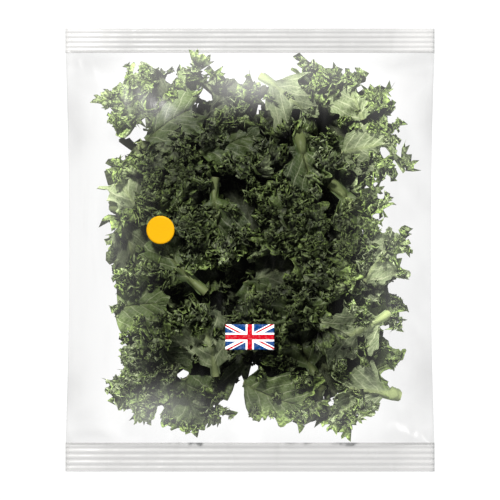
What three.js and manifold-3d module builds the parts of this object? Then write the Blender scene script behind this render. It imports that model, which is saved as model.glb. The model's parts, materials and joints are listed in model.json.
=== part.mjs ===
// A sealed clear film pouch of cut curly kale, lying on its back.
// +X runs across the pouch, +Y towards its top seal and +Z up. Millimetres. The origin is the point
// on the resting surface under the middle of the pouch.

import * as THREE from "three";
import { mergeVertices } from "three/addons/utils/BufferGeometryUtils.js";
import Module from "manifold-3d";

const wasm = await Module();
wasm.setup();

// ---- driving dimensions ----

const pouch = {
  width: 250,
  length: 300,
  height: 62, // from the resting surface to the crown of the front panel
  seamHeight: 22, // the level of the side folds and of both crimped seals
  wall: 0.6,
  waist: 2.5, // how far each side fold pulls in halfway up the pouch
  topSeal: 15,
  bottomSeal: 18,
  around: 28, // points of one cross-section
  along: 13, // cross-sections from seal to seal
};

const crimp = {
  ribs: 5,
  ribHeight: 0.5,
  bite: 1.2, // how far a seal runs into the pouch it closes
};

const vent = { radius: 2.5, x: 70, y: 98, sides: 10 };

// The middle and half sizes of the heap, over which the hidden leaves are spread.
const heap = { x: 2, y: 3, halfWidth: 86, halfLength: 104 };

// The heap seen from the front, going round clockwise from its upper left: bays and corners.
const heapOutline = [
  [-85, 118], [-76, 123], [-66, 127], [-55, 126], [-34, 123], [-30, 114], [-23, 127], [-15, 130],
  [-11, 119], [0, 115], [22, 122], [46, 129], [56, 127], [61, 118], [84, 110], [100, 108],
  [98, 94], [90, 88], [102, 83], [100, 54], [92, 34], [101, 23], [105, 3], [103, -27], [106, -46],
  [99, -58], [106, -71], [96, -85], [102, -100], [86, -115], [57, -115], [40, -125], [23, -116],
  [11, -120], [-3, -108], [-9, -100], [-19, -117], [-33, -124], [-54, -123], [-67, -109],
  [-96, -111], [-90, -85], [-84, -68], [-94, -40], [-97, -12], [-101, 10], [-96, 22], [-103, 34],
  [-106, 48], [-100, 56], [-82, 61], [-89, 82], [-100, 92], [-91, 106],
];

const leafGap = 1.4; // between neighbours of one layer
const filmGap = 1.2; // between a leaf and the film
const bladeThickness = 0.8;
const ribTaper = 0.7; // how much of its thickness a rib loses by the leaf's tip
const stalkFringe = 2.4; // the blade that is left along a bare rib
const lobeDepth = 0.24; // how deep the edge is cut between its waves, as a share of the half width

// Layers of leaves, as shares of the room between the two panels, and how far inside the heap's
// outline each one ends.
const layers = {
  front: { low: 0.7, high: 0.95, inset: 0 },
  second: { low: 0.47, high: 0.68, inset: 2 },
  middle: { low: 0.26, high: 0.45, inset: 18 },
  back: { low: 0.04, high: 0.24, inset: 20 },
};

// How many rows and columns a leaf's grid has, and how many waves run along each edge.
const ribColumn = 0.08;
const manyColumns = [-1, -0.66, -0.32, -ribColumn, ribColumn, 0.32, 0.66, 1];
const fewColumns = [-1, -0.55, -ribColumn, ribColumn, 0.55, 1];
const details = {
  front: { rows: 12, columns: manyColumns, waves: 3.4 },
  second: { rows: 9, columns: manyColumns, waves: 2.6 },
  hidden: { rows: 7, columns: fewColumns, waves: 2 },
};

// ---- the pouch's form ----

const topEdge = pouch.length / 2 - pouch.topSeal;
const bottomEdge = -pouch.length / 2 + pouch.bottomSeal;
const middleY = (topEdge + bottomEdge) / 2;
const halfOpen = (topEdge - bottomEdge) / 2;
const rise = pouch.height - pouch.seamHeight - pouch.wall;
const drop = pouch.seamHeight - pouch.wall;

const clamp = (value, low, high) => Math.min(high, Math.max(low, value));
const radians = (degrees) => (degrees * Math.PI) / 180;

function halfWidthAt(y) {
  const q = clamp((y - middleY) / halfOpen, -1, 1);
  return pouch.width / 2 - pouch.waist * (1 - q * q);
}

// How full the pouch is over a point: 1 in its middle, 0 at its folds and seals.
function fullness(x, y) {
  const p = clamp(Math.abs(x) / halfWidthAt(y), 0, 1);
  const q = clamp(Math.abs(y - middleY) / halfOpen, 0, 1);
  return (1 - p ** 2.4) ** 0.62 * (1 - q ** 2.6) ** 0.62;
}

const frontRise = (full) => rise * full;
// The back panel lies flat on the surface wherever the pouch is fuller than this.
const flatFrom = 0.72;
const backDrop = (full) => drop * (1 - Math.max(0, 1 - full / flatFrom) ** 1.5);

const roomTop = (x, y) => pouch.seamHeight + frontRise(fullness(x, y)) - filmGap;
const roomBottom = (x, y) => pouch.seamHeight - backDrop(fullness(x, y)) + filmGap;

// ---- solids from meshes ----

function closedGeometry(positions, indices) {
  const geometry = new THREE.BufferGeometry();
  geometry.setAttribute("position", new THREE.Float32BufferAttribute(positions, 3));
  geometry.setIndex(indices);
  return geometry;
}

function solidOf(geometry) {
  geometry.deleteAttribute("normal");
  geometry.deleteAttribute("uv");
  const merged = mergeVertices(geometry, 1e-4);
  const mesh = new wasm.Mesh({
    numProp: 3,
    vertProperties: merged.attributes.position.array,
    triVerts: new Uint32Array(merged.index.array),
  });
  return new wasm.Manifold(mesh);
}

function geometryOf(solid) {
  const mesh = solid.getMesh();
  const positions = [];
  for (let i = 0; i < mesh.numVert; i++) {
    const start = i * mesh.numProp;
    positions.push(...mesh.vertProperties.subarray(start, start + 3));
  }
  return closedGeometry(positions, Array.from(mesh.triVerts));
}

// Joins rings of equal length into a closed tube with flat ends.
function loft(rings) {
  const positions = rings.flat(2);
  const size = rings[0].length;
  const indices = [];
  for (let row = 0; row + 1 < rings.length; row++) {
    for (let k = 0; k < size; k++) {
      const a = row * size + k;
      const b = row * size + ((k + 1) % size);
      indices.push(a, b + size, b, a, a + size, b + size);
    }
  }
  for (const [row, flip] of [[0, false], [rings.length - 1, true]]) {
    const ring = rings[row];
    const centre = positions.length / 3;
    positions.push(0, ring[0][1], pouch.seamHeight);
    for (let k = 0; k < size; k++) {
      const a = row * size + k;
      const b = row * size + ((k + 1) % size);
      indices.push(...(flip ? [centre, b, a] : [centre, a, b]));
    }
  }
  return closedGeometry(positions, indices);
}

// One cross-section of the pouch's outer (sign 1) or inner (sign -1) face.
function crossSection(y, sign) {
  const ring = [];
  const reach = halfWidthAt(y) + (sign < 0 ? -pouch.wall * 2 : 0);
  for (let k = 0; k < pouch.around; k++) {
    const turn = (2 * Math.PI * k) / pouch.around;
    const x = reach * Math.cos(turn);
    const side = Math.sin(turn);
    const full = fullness(x, y);
    const bare = 0.05;
    let lift = 0;
    if (side > 1e-9) lift = Math.max(frontRise(full) + sign * pouch.wall, bare);
    if (side < -1e-9) lift = -Math.max(backDrop(full) + sign * pouch.wall, bare);
    ring.push([x, y, pouch.seamHeight + lift]);
  }
  return ring;
}

// The outer body runs from seal to seal, and the cavity stops one cross-section short of each.
function pouchBody(sign) {
  const rings = [];
  const skipped = sign < 0 ? 1 : 0;
  for (let row = skipped; row < pouch.along - skipped; row++) {
    const q = -Math.cos((Math.PI * row) / (pouch.along - 1));
    rings.push(crossSection(middleY + halfOpen * q, sign));
  }
  return solidOf(loft(rings));
}

// A crimped seal: both films pressed into a strip with ribs running across the pouch.
function crimpedSeal(from, to) {
  const outline = new THREE.Shape();
  const pitch = (to - from) / crimp.ribs;
  const face = pouch.wall;
  outline.moveTo(from, -face);
  for (let rib = 0; rib < crimp.ribs; rib++) {
    outline.lineTo(from + (rib + 0.5) * pitch, -face - crimp.ribHeight);
    outline.lineTo(from + (rib + 1) * pitch, -face);
  }
  for (let rib = crimp.ribs; rib > 0; rib--) {
    outline.lineTo(from + rib * pitch, face);
    outline.lineTo(from + (rib - 0.5) * pitch, face + crimp.ribHeight);
  }
  outline.lineTo(from, face);
  const strip = new THREE.ExtrudeGeometry(outline, { depth: pouch.width, bevelEnabled: false });
  const along = new THREE.Vector3(0, 1, 0);
  const up = new THREE.Vector3(0, 0, 1);
  const across = new THREE.Vector3(1, 0, 0);
  strip.applyMatrix4(new THREE.Matrix4().makeBasis(along, up, across));
  strip.translate(-pouch.width / 2, 0, pouch.seamHeight);
  return solidOf(strip);
}

function ventHole(x, y) {
  const height = pouch.seamHeight;
  const drill = new THREE.CylinderGeometry(vent.radius, vent.radius, height, vent.sides);
  drill.rotateX(Math.PI / 2);
  drill.translate(x, y, height / 2 - 2);
  return solidOf(drill);
}

function filmPouch() {
  let solid = pouchBody(1).subtract(pouchBody(-1));
  solid = solid.add(crimpedSeal(topEdge - crimp.bite, pouch.length / 2));
  solid = solid.add(crimpedSeal(-pouch.length / 2, bottomEdge + crimp.bite));
  for (const side of [-1, 1]) solid = solid.subtract(ventHole(side * vent.x, vent.y));
  return geometryOf(solid);
}

// ---- the leaves ----

// A repeatable draw from 0 to 1 for a leaf's seed and the number of the draw.
function draw(seed, index) {
  const value = Math.sin(seed * 12.9898 + index * 78.233) * 43758.5453;
  return value - Math.floor(value);
}

const spread = (seed, index, low, high) => low + (high - low) * draw(seed, index);

// The pieces that lie against the front panel: place, heading of the rib from its cut end,
// length, width, how much the piece widens towards its tip, which face is up, and the bare
// length and thickness of its rib.
const frontLeaves = [
  { x: 25, y: 101, heading: -42, long: 60, wide: 50, fan: 0.5, face: "under", stalk: 8, rib: 5 },
  { x: -49, y: 85, heading: 30, long: 62, wide: 48, fan: 0, face: "top", stalk: 0, rib: 4 },
  { x: 83, y: 68, heading: 8, long: 60, wide: 54, fan: 0.4, face: "under", stalk: 0, rib: 4 },
  { x: 38, y: 61, heading: -75, long: 46, wide: 34, fan: 0, face: "top", stalk: 13, rib: 9 },
  { x: -86, y: 41, heading: 122, long: 52, wide: 42, fan: 0, face: "under", stalk: 0, rib: 4 },
  { x: -57, y: 40, heading: 80, long: 48, wide: 46, fan: 0, face: "top", stalk: 0, rib: 3 },
  { x: -12, y: 73, heading: 20, long: 46, wide: 40, fan: 0.2, face: "top", stalk: 0, rib: 3 },
  { x: 69, y: 28, heading: -50, long: 50, wide: 42, fan: 0.2, face: "top", stalk: 10, rib: 8 },
  { x: -19, y: 23, heading: -80, long: 52, wide: 44, fan: 0, face: "top", stalk: 12, rib: 5 },
  { x: 24, y: 19, heading: 95, long: 50, wide: 44, fan: 0, face: "top", stalk: 0, rib: 3 },
  { x: 93, y: -2, heading: 50, long: 50, wide: 38, fan: 0.3, face: "under", stalk: 0, rib: 4 },
  { x: -78, y: -38, heading: 5, long: 60, wide: 50, fan: 0, face: "top", stalk: 0, rib: 4 },
  { x: -47, y: -8, heading: 130, long: 52, wide: 44, fan: 0, face: "top", stalk: 12, rib: 6 },
  { x: -29, y: -62, heading: 105, long: 46, wide: 54, fan: 0.9, face: "under", stalk: 4, rib: 5 },
  { x: 47, y: -20, heading: 60, long: 50, wide: 46, fan: 0, face: "top", stalk: 0, rib: 3 },
  { x: 69, y: -54, heading: 205, long: 52, wide: 42, fan: 0.4, face: "under", stalk: 6, rib: 5 },
  { x: -77, y: -88, heading: 200, long: 50, wide: 48, fan: 0, face: "top", stalk: 0, rib: 3 },
  { x: 19, y: -98, heading: -20, long: 50, wide: 42, fan: 0.2, face: "top", stalk: 0, rib: 4 },
  { x: 83, y: -96, heading: 172, long: 54, wide: 44, fan: 0.2, face: "under", stalk: 10, rib: 6 },
  { x: 8, y: -40, heading: -60, long: 44, wide: 38, fan: 0, face: "top", stalk: 0, rib: 3 },
  { x: -78, y: 97, heading: 140, long: 48, wide: 44, fan: 0, face: "top", stalk: 0, rib: 3 },
  { x: 68, y: 104, heading: 115, long: 46, wide: 40, fan: 0, face: "under", stalk: 0, rib: 4 },
];

// The pieces just under those, which show between them.
const secondLeaves = [
  { x: -60, y: 112, heading: 100, long: 52, wide: 42, fan: 0, face: "under", stalk: 0, rib: 3 },
  { x: -18, y: 110, heading: 60, long: 50, wide: 44, fan: 0.3, face: "under", stalk: 0, rib: 3 },
  { x: 44, y: 113, heading: 80, long: 48, wide: 44, fan: 0, face: "top", stalk: 0, rib: 3 },
  { x: 88, y: 98, heading: 60, long: 44, wide: 36, fan: 0, face: "top", stalk: 0, rib: 3 },
  { x: -76, y: 64, heading: -50, long: 54, wide: 44, fan: 0, face: "under", stalk: 8, rib: 5 },
  { x: 12, y: 62, heading: -30, long: 58, wide: 50, fan: 0, face: "top", stalk: 0, rib: 4 },
  { x: 62, y: 52, heading: -110, long: 54, wide: 46, fan: 0, face: "top", stalk: 0, rib: 4 },
  { x: -38, y: 14, heading: 160, long: 58, wide: 50, fan: 0, face: "top", stalk: 0, rib: 4 },
  { x: -84, y: 4, heading: -75, long: 60, wide: 38, fan: 0, face: "under", stalk: 12, rib: 6 },
  { x: 92, y: -36, heading: -80, long: 54, wide: 44, fan: 0, face: "top", stalk: 0, rib: 4 },
  { x: 30, y: -12, heading: 20, long: 56, wide: 50, fan: 0, face: "under", stalk: 0, rib: 4 },
  { x: -58, y: -64, heading: -30, long: 56, wide: 46, fan: 0.2, face: "top", stalk: 0, rib: 4 },
  { x: 40, y: -70, heading: 110, long: 54, wide: 46, fan: 0, face: "top", stalk: 10, rib: 6 },
  { x: 96, y: -74, heading: 30, long: 46, wide: 40, fan: 0, face: "top", stalk: 0, rib: 3 },
  { x: -38, y: -106, heading: -75, long: 52, wide: 46, fan: 0, face: "top", stalk: 0, rib: 3 },
  { x: 46, y: -110, heading: -85, long: 48, wide: 40, fan: 0, face: "under", stalk: 12, rib: 6 },
];

// The hidden layers are a grid of pieces, each shifted and turned by its own draws.
function scattered(columns, rows, firstSeed) {
  const leaves = [];
  for (let row = 0; row < rows; row++) {
    for (let column = 0; column < columns; column++) {
      const seed = firstSeed + leaves.length;
      const stagger = row % 2 ? 0.12 : -0.12;
      leaves.push({
        x: (((column + 0.5 + stagger) / columns) * 2 - 1) * heap.halfWidth + heap.x + spread(seed, 1, -8, 8),
        y: (((row + 0.5) / rows) * 2 - 1) * heap.halfLength + heap.y + spread(seed, 2, -8, 8),
        heading: spread(seed, 3, 0, 360),
        long: spread(seed, 4, 90, 104),
        wide: spread(seed, 5, 92, 106),
        fan: spread(seed, 6, 0, 0.5),
        face: draw(seed, 7) < 0.5 ? "under" : "top",
        stalk: draw(seed, 8) < 0.4 ? 12 : 0,
        rib: spread(seed, 9, 3, 7),
      });
    }
  }
  return leaves;
}

// Straight fences halfway to each neighbour: each is the direction that leads out over it and how
// far out it stands.
function fencesOf(leaf, leaves) {
  const fences = [];
  for (const other of leaves) {
    if (other === leaf) continue;
    const away = new THREE.Vector2(other.x - leaf.x, other.y - leaf.y);
    const half = away.length() / 2 - leafGap / 2;
    away.normalize();
    fences.push({ out: away, limit: leaf.x * away.x + leaf.y * away.y + half });
  }
  return fences;
}

// How far a point can move in a direction before it leaves the heap's outline.
function roomInHeap(point, direction) {
  let room = Infinity;
  let crossings = 0;
  heapOutline.forEach(([startX, startY], index) => {
    const [endX, endY] = heapOutline[(index + 1) % heapOutline.length];
    const edge = new THREE.Vector2(endX - startX, endY - startY);
    const start = new THREE.Vector2(startX - point.x, startY - point.y);
    const slant = direction.cross(edge);
    const away = start.cross(edge) / slant;
    const share = start.cross(direction) / slant;
    if (Math.abs(slant) < 1e-9 || away < 0 || share < 0 || share >= 1) return;
    room = Math.min(room, away);
    crossings += 1;
  });
  return crossings % 2 ? room : 0;
}

// How far a point can move in a direction before it meets a fence or its layer's outline.
function roomFor(fences, inset, point, direction) {
  let room = roomInHeap(point, direction) - inset;
  for (const { out, limit } of fences) {
    const approach = direction.dot(out);
    if (approach > 1e-6) room = Math.min(room, (limit - point.dot(out)) / approach);
  }
  return Math.max(room, 0);
}

// The leaf's half width along its rib, as a share of its widest: an oval or a fan.
function outline(leaf, u) {
  const oval = Math.sin(Math.PI * (0.1 + 0.84 * u)) ** 0.55;
  return oval * (1 + leaf.fan * (u - 0.55) * 1.3);
}

// A leaf is a thin waved blade with a thick rib on its underside, made as a grid: rows run along
// the rib and columns across it, the two middle columns being the rib's edges.
function leafGeometry(leaf, seed, layer, fences, detail) {
  const turn = radians(leaf.heading);
  const heading = new THREE.Vector2(Math.cos(turn), Math.sin(turn));
  const across = new THREE.Vector2(-heading.y, heading.x);
  const centre = new THREE.Vector2(leaf.x, leaf.y);
  const roomFrom = (point, direction) => roomFor(fences, layer.inset, point, direction);
  const ahead = Math.min(leaf.long / 2, roomFrom(centre, heading) - 0.6);
  const behind = Math.min(leaf.long / 2, roomFrom(centre, heading.clone().negate()) - 0.6);
  const length = ahead + behind;
  const bend = spread(seed, 10, -0.08, 0.08) * length;
  const tiltAlong = spread(seed, 11, -0.16, 0.16);
  const tiltAcross = spread(seed, 12, -0.2, 0.2);
  const cup = spread(seed, 13, -1, 5);
  const arch = spread(seed, 14, -2, 5);
  const waves = detail.waves * spread(seed, 15, 0.9, 1.1);
  const waveHeight = spread(seed, 16, 5.5, 8);
  const ribUp = leaf.face === "under" ? 1 : -1;
  const stalkShare = leaf.stalk / length;
  const middle = [];
  const ribs = [];
  for (let row = 0; row < detail.rows; row++) {
    const u = row / (detail.rows - 1);
    const onRib = centre.clone().addScaledVector(heading, -behind + length * u);
    const roomLeft = roomFrom(onRib, across);
    const roomRight = roomFrom(onRib, across.clone().negate());
    const sway = 0.5 * Math.min(roomLeft, roomRight);
    onRib.addScaledVector(across, clamp(bend * 4 * u * (1 - u), -sway, sway));
    const ribThick = leaf.rib * (1 - ribTaper * u);
    const ribHalf = ribThick / 2 + 0.3;
    const bladeShare = clamp((u - stalkShare) / 0.12, 0, 1);
    for (const column of detail.columns) {
      const side = Math.sign(column);
      const out = across.clone().multiplyScalar(side);
      const phase = draw(seed, side > 0 ? 18 : 17);
      const wave = Math.sin(2 * Math.PI * (waves * u + phase));
      const lobe = 1 - lobeDepth * (0.5 + 0.5 * Math.cos(2 * Math.PI * (waves * u + phase)));
      const room = Math.max(roomFrom(onRib, out) - 0.3, ribHalf + 0.5);
      const natural = 0.5 * leaf.wide * outline(leaf, u);
      const blade = Math.min(natural, room) * lobe * bladeShare;
      const reach = Math.max(blade, Math.min(ribHalf + stalkFringe, room));
      const share = (Math.abs(column) - ribColumn) / (1 - ribColumn);
      const distance = ribHalf + (reach - ribHalf) * share;
      const place = onRib.clone().addScaledVector(out, distance);
      const lift =
        tiltAlong * length * (u - 0.5) +
        tiltAcross * distance * side +
        cup * share * share +
        arch * Math.sin(Math.PI * u) +
        waveHeight * wave * share ** 1.4 * (0.3 + 0.7 * bladeShare);
      const low = roomBottom(place.x, place.y);
      const high = roomTop(place.x, place.y);
      const slotLow = low + (high - low) * layer.low;
      const slotHigh = low + (high - low) * layer.high;
      const ribDepth = Math.min(0.8 * ribThick, 0.45 * (slotHigh - slotLow));
      const from = slotLow + bladeThickness / 2 + (ribUp < 0 ? ribDepth : 0);
      const to = slotHigh - bladeThickness / 2 - (ribUp > 0 ? ribDepth : 0);
      const half = Math.max((to - from) / 2, 0.01);
      const z = (from + to) / 2 + half * Math.tanh(lift / half);
      middle.push(new THREE.Vector3(place.x, place.y, z));
      ribs.push(Math.abs(column) === ribColumn ? ribDepth : 0);
    }
  }
  return bladeSolid(middle, ribs, ribUp, detail);
}

// Gives a grid of points its thickness, with the rib standing out of one face.
function bladeSolid(middle, ribs, ribUp, detail) {
  const wide = detail.columns.length;
  const long = detail.rows;
  const at = (row, column) => middle[clamp(row, 0, long - 1) * wide + clamp(column, 0, wide - 1)];
  const upper = [];
  const lower = [];
  for (let row = 0; row < long; row++) {
    for (let column = 0; column < wide; column++) {
      const along = at(row + 1, column).clone().sub(at(row - 1, column));
      const over = at(row, column + 1).clone().sub(at(row, column - 1));
      const normal = along.cross(over).normalize();
      if (normal.z < 0) normal.negate();
      const half = normal.multiplyScalar(bladeThickness / 2);
      const rib = ribs[row * wide + column];
      const top = at(row, column).clone().add(half);
      const bottom = at(row, column).clone().sub(half);
      if (ribUp > 0) top.z += rib;
      else bottom.z -= rib;
      upper.push(...top.toArray());
      lower.push(...bottom.toArray());
    }
  }
  const count = long * wide;
  const indices = [];
  const face = (a, b, c) => {
    indices.push(a, b, c);
    indices.push(count + a, count + c, count + b);
  };
  for (let row = 0; row + 1 < long; row++) {
    for (let column = 0; column + 1 < wide; column++) {
      const a = row * wide + column;
      const b = a + 1;
      face(a, a + wide, b);
      face(b, a + wide, b + wide);
    }
  }
  const rim = [];
  for (let column = 0; column < wide; column++) rim.push(column);
  for (let row = 1; row < long; row++) rim.push(row * wide + wide - 1);
  for (let column = wide - 2; column >= 0; column--) rim.push((long - 1) * wide + column);
  for (let row = long - 2; row > 0; row--) rim.push(row * wide);
  rim.forEach((a, step) => {
    const b = rim[(step + 1) % rim.length];
    indices.push(a, b, count + b, a, count + b, count + a);
  });
  return closedGeometry([...upper, ...lower], indices);
}

// ---- materials and assembly ----

const filmMaterial = new THREE.MeshStandardMaterial({
  name: "film",
  color: 0xf2f3f3,
  roughness: 0.15,
  metalness: 0,
  transparent: true,
  opacity: 0.2,
});
const topMaterial = new THREE.MeshStandardMaterial({
  name: "kale_top",
  color: 0x3f5a2c,
  roughness: 0.6,
  metalness: 0,
});
const underMaterial = new THREE.MeshStandardMaterial({
  name: "kale_under",
  color: 0x75845a,
  roughness: 0.65,
  metalness: 0,
});

const root = new THREE.Group();

function addMesh(name, geometry, material) {
  const mesh = new THREE.Mesh(geometry, material);
  mesh.name = name;
  root.add(mesh);
}

function addLayer(layerName, leaves, firstSeed, detail) {
  leaves.forEach((leaf, index) => {
    const number = String(index + 1).padStart(2, "0");
    const fences = fencesOf(leaf, leaves);
    const geometry = leafGeometry(leaf, firstSeed + index, layers[layerName], fences, detail);
    const material = leaf.face === "under" ? underMaterial : topMaterial;
    addMesh(`kale_leaf_${layerName}_${number}`, geometry, material);
  });
}

addMesh("film_pouch", filmPouch(), filmMaterial);
addLayer("front", frontLeaves, 1, details.front);
addLayer("second", secondLeaves, 41, details.second);
addLayer("middle", scattered(3, 3, 71), 71, details.hidden);
addLayer("back", scattered(2, 4, 91), 91, details.hidden);

export default root;
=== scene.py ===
import json
import math

import bmesh
import bpy
import numpy as np
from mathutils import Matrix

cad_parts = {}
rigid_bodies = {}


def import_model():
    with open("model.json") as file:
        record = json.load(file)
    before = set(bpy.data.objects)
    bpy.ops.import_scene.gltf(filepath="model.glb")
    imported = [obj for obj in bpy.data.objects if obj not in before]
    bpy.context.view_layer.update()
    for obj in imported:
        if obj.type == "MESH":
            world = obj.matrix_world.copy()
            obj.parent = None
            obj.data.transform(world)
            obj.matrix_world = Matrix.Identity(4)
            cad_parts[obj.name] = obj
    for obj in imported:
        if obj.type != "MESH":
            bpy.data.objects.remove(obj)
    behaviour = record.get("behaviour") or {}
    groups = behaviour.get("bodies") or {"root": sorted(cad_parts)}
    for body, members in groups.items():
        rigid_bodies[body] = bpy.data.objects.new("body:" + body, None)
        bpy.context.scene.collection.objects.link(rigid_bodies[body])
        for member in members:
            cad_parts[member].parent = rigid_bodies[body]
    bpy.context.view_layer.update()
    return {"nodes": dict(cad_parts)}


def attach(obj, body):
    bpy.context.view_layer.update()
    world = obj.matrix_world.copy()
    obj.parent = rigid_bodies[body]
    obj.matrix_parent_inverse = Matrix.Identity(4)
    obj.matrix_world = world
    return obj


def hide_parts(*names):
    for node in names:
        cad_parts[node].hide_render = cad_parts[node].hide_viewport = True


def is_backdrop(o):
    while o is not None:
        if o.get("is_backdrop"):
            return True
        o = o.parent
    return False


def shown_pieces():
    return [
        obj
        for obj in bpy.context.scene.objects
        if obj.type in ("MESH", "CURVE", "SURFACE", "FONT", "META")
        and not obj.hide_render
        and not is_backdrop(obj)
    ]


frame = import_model()
print("frame loaded:", len(frame["nodes"]), "solids")

mm = 0.001
turn = 2 * math.pi


def draw(seed, index):
    # a repeatable value from 0 to 1
    value = math.sin(seed * 12.9898 + index * 78.233) * 43758.5453
    return value - math.floor(value)


def spread(seed, index, low, high):
    return low + (high - low) * draw(seed, index)


def smoothStep(low, high, value):
    share = np.clip((value - low) / (high - low), 0, 1)
    return share * share * (3 - 2 * share)


def ripples(along, seed, lengths):
    # a soft irregular wave, from about -1 to 1
    total = 0
    for number, length in enumerate(lengths):
        total = total + np.sin(turn * (along / length + draw(seed, 300 + number)))
    return total / len(lengths)


def swells(x, y, seed, lengths):
    # a soft irregular surface, from about -1 to 1
    total = 0
    for number, length in enumerate(lengths):
        bearing = turn * draw(seed, 400 + number)
        way = x * math.cos(bearing) + y * math.sin(bearing)
        total = total + np.sin(turn * (way / length + draw(seed, 420 + number)))
    return total / len(lengths)


def meshObject(name, points, faces, uvs=None):
    mesh = bpy.data.meshes.new(name)
    mesh.from_pydata(np.asarray(points).tolist(), [], [list(face) for face in faces])
    if uvs is not None:
        layer = mesh.uv_layers.new(name="UVMap")
        corners = np.empty(len(mesh.loops), np.int32)
        mesh.loops.foreach_get("vertex_index", corners)
        layer.data.foreach_set("uv", np.asarray(uvs, np.float32)[corners].ravel())
    mesh.shade_smooth()
    piece = bpy.data.objects.new(name, mesh)
    bpy.context.scene.collection.objects.link(piece)
    return piece


def gridFaces(rows, columns, closed=False):
    steps = columns if closed else columns - 1
    row, column = np.meshgrid(np.arange(rows - 1), np.arange(steps), indexing="ij")
    here = row * columns + column
    beside = row * columns + (column + 1) % columns
    return np.stack([here, beside, beside + columns, here + columns], -1).reshape(-1, 4)


def addAttribute(piece, name, kind, values):
    attribute = piece.data.attributes.new(name, kind, "POINT")
    field = "vector" if kind == "FLOAT_VECTOR" else "value"
    attribute.data.foreach_set(field, np.asarray(values, np.float32).ravel())


def meshPoints(piece):
    flat = np.empty(len(piece.data.vertices) * 3, np.float32)
    piece.data.vertices.foreach_get("co", flat)
    return flat.reshape(-1, 3).astype(float)


def setPoints(piece, points):
    piece.data.vertices.foreach_set("co", np.asarray(points, np.float32).ravel())
    piece.data.update()


def settle(piece):
    # puts the result of the modifiers into the mesh and removes them
    graph = bpy.context.evaluated_depsgraph_get()
    result = bpy.data.meshes.new_from_object(piece.evaluated_get(graph))
    old = piece.data
    piece.modifiers.clear()
    piece.data = result
    result.name = piece.name
    bpy.data.meshes.remove(old)


def thicken(piece, thickness, **settings):
    shell = piece.modifiers.new("thickness", "SOLIDIFY")
    shell.thickness = thickness
    shell.offset = 0
    for name, value in settings.items():
        setattr(shell, name, value)
    settle(piece)


def turnFacesOut(piece):
    shape = bmesh.new()
    shape.from_mesh(piece.data)
    bmesh.ops.recalc_face_normals(shape, faces=shape.faces)
    shape.to_mesh(piece.data)
    shape.free()


def put(tree, kind, inputs=None, **settings):
    node = tree.nodes.new(kind)
    for name, value in settings.items():
        setattr(node, name, value)
    for slot, value in (inputs or {}).items():
        feed(tree, node.inputs[slot], value)
    return node


def feed(tree, socket, value):
    if isinstance(value, bpy.types.NodeSocket):
        tree.links.new(value, socket)
    else:
        socket.default_value = value


def calc(tree, operation, *values):
    node = tree.nodes.new("ShaderNodeMath")
    node.operation = operation
    for slot, value in enumerate(values):
        feed(tree, node.inputs[slot], value)
    return node.outputs[0]


def vectorCalc(tree, operation, *values):
    node = tree.nodes.new("ShaderNodeVectorMath")
    node.operation = operation
    for slot, value in enumerate(values):
        feed(tree, node.inputs["Scale" if operation == "SCALE" and slot == 1 else slot], value)
    return node.outputs[0]


def sums(tree):
    # the two operations that the trees use most
    def plus(first, second):
        return calc(tree, "ADD", first, second)

    def times(*values):
        product = values[0]
        for value in values[1:]:
            product = calc(tree, "MULTIPLY", product, value)
        return product

    return plus, times


def addSockets(tree, inputs, outputs):
    for name, kind, value in inputs:
        socket = tree.interface.new_socket(name, in_out="INPUT", socket_type=kind)
        if value is not None:
            socket.default_value = value
    for name, kind in outputs:
        tree.interface.new_socket(name, in_out="OUTPUT", socket_type=kind)


def useTree(piece, tree, values):
    modifier = piece.modifiers.new(tree.name, "NODES")
    modifier.node_group = tree
    for item in tree.interface.items_tree:
        if item.in_out == "INPUT" and item.name in values:
            modifier[item.identifier] = values[item.name]
    settle(piece)


def mapRange(tree, value, fromLow, fromHigh, toLow=0.0, toHigh=1.0):
    limits = {"Value": value, "From Min": fromLow, "From Max": fromHigh, "To Min": toLow, "To Max": toHigh}
    return put(tree, "ShaderNodeMapRange", limits, interpolation_type="SMOOTHSTEP").outputs[0]


def mixColor(tree, share, first, second, blend="MIX"):
    node = put(tree, "ShaderNodeMix", data_type="RGBA", blend_type=blend)
    for slot, value in ((0, share), (6, first), (7, second)):
        feed(tree, node.inputs[slot], value)
    return node.outputs[2]


def noise(tree, place, scale, detail):
    return put(tree, "ShaderNodeTexNoise", {"Vector": place, "Scale": scale, "Detail": detail}).outputs["Fac"]


def addBump(tree, shader, height, distance, strength):
    bump = put(tree, "ShaderNodeBump", {"Height": height, "Distance": distance, "Strength": strength})
    feed(tree, shader.inputs["Normal"], bump.outputs["Normal"])


def newMaterial(name):
    material = bpy.data.materials.new(name)
    material.use_nodes = True
    tree = material.node_tree
    return material, tree, tree.nodes["Principled BSDF"]


def newGeometryTree(name, inputs):
    tree = bpy.data.node_groups.new(name, "GeometryNodeTree")
    geometry = ("Geometry", "NodeSocketGeometry")
    addSockets(tree, [geometry + (None,)] + inputs, [geometry])
    return tree, put(tree, "NodeGroupInput").outputs


def endTree(tree, geometry, material):
    real = put(tree, "GeometryNodeRealizeInstances", {"Geometry": geometry})
    painted = put(tree, "GeometryNodeSetMaterial", {"Geometry": real.outputs[0], "Material": material})
    feed(tree, put(tree, "NodeGroupOutput").inputs[0], painted.outputs[0])


def geometryValue(tree, name, kind="FLOAT"):
    return put(tree, "GeometryNodeInputNamedAttribute", {"Name": name}, data_type=kind).outputs["Attribute"]


def rgb(red, green, blue):
    return (red, green, blue, 1.0)


cameraSetup = {
    "field": 338.75 * mm,  # what the frame takes in at the level of the side folds
    "height": 2.4,
    "level": 22 * mm,
}


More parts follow.
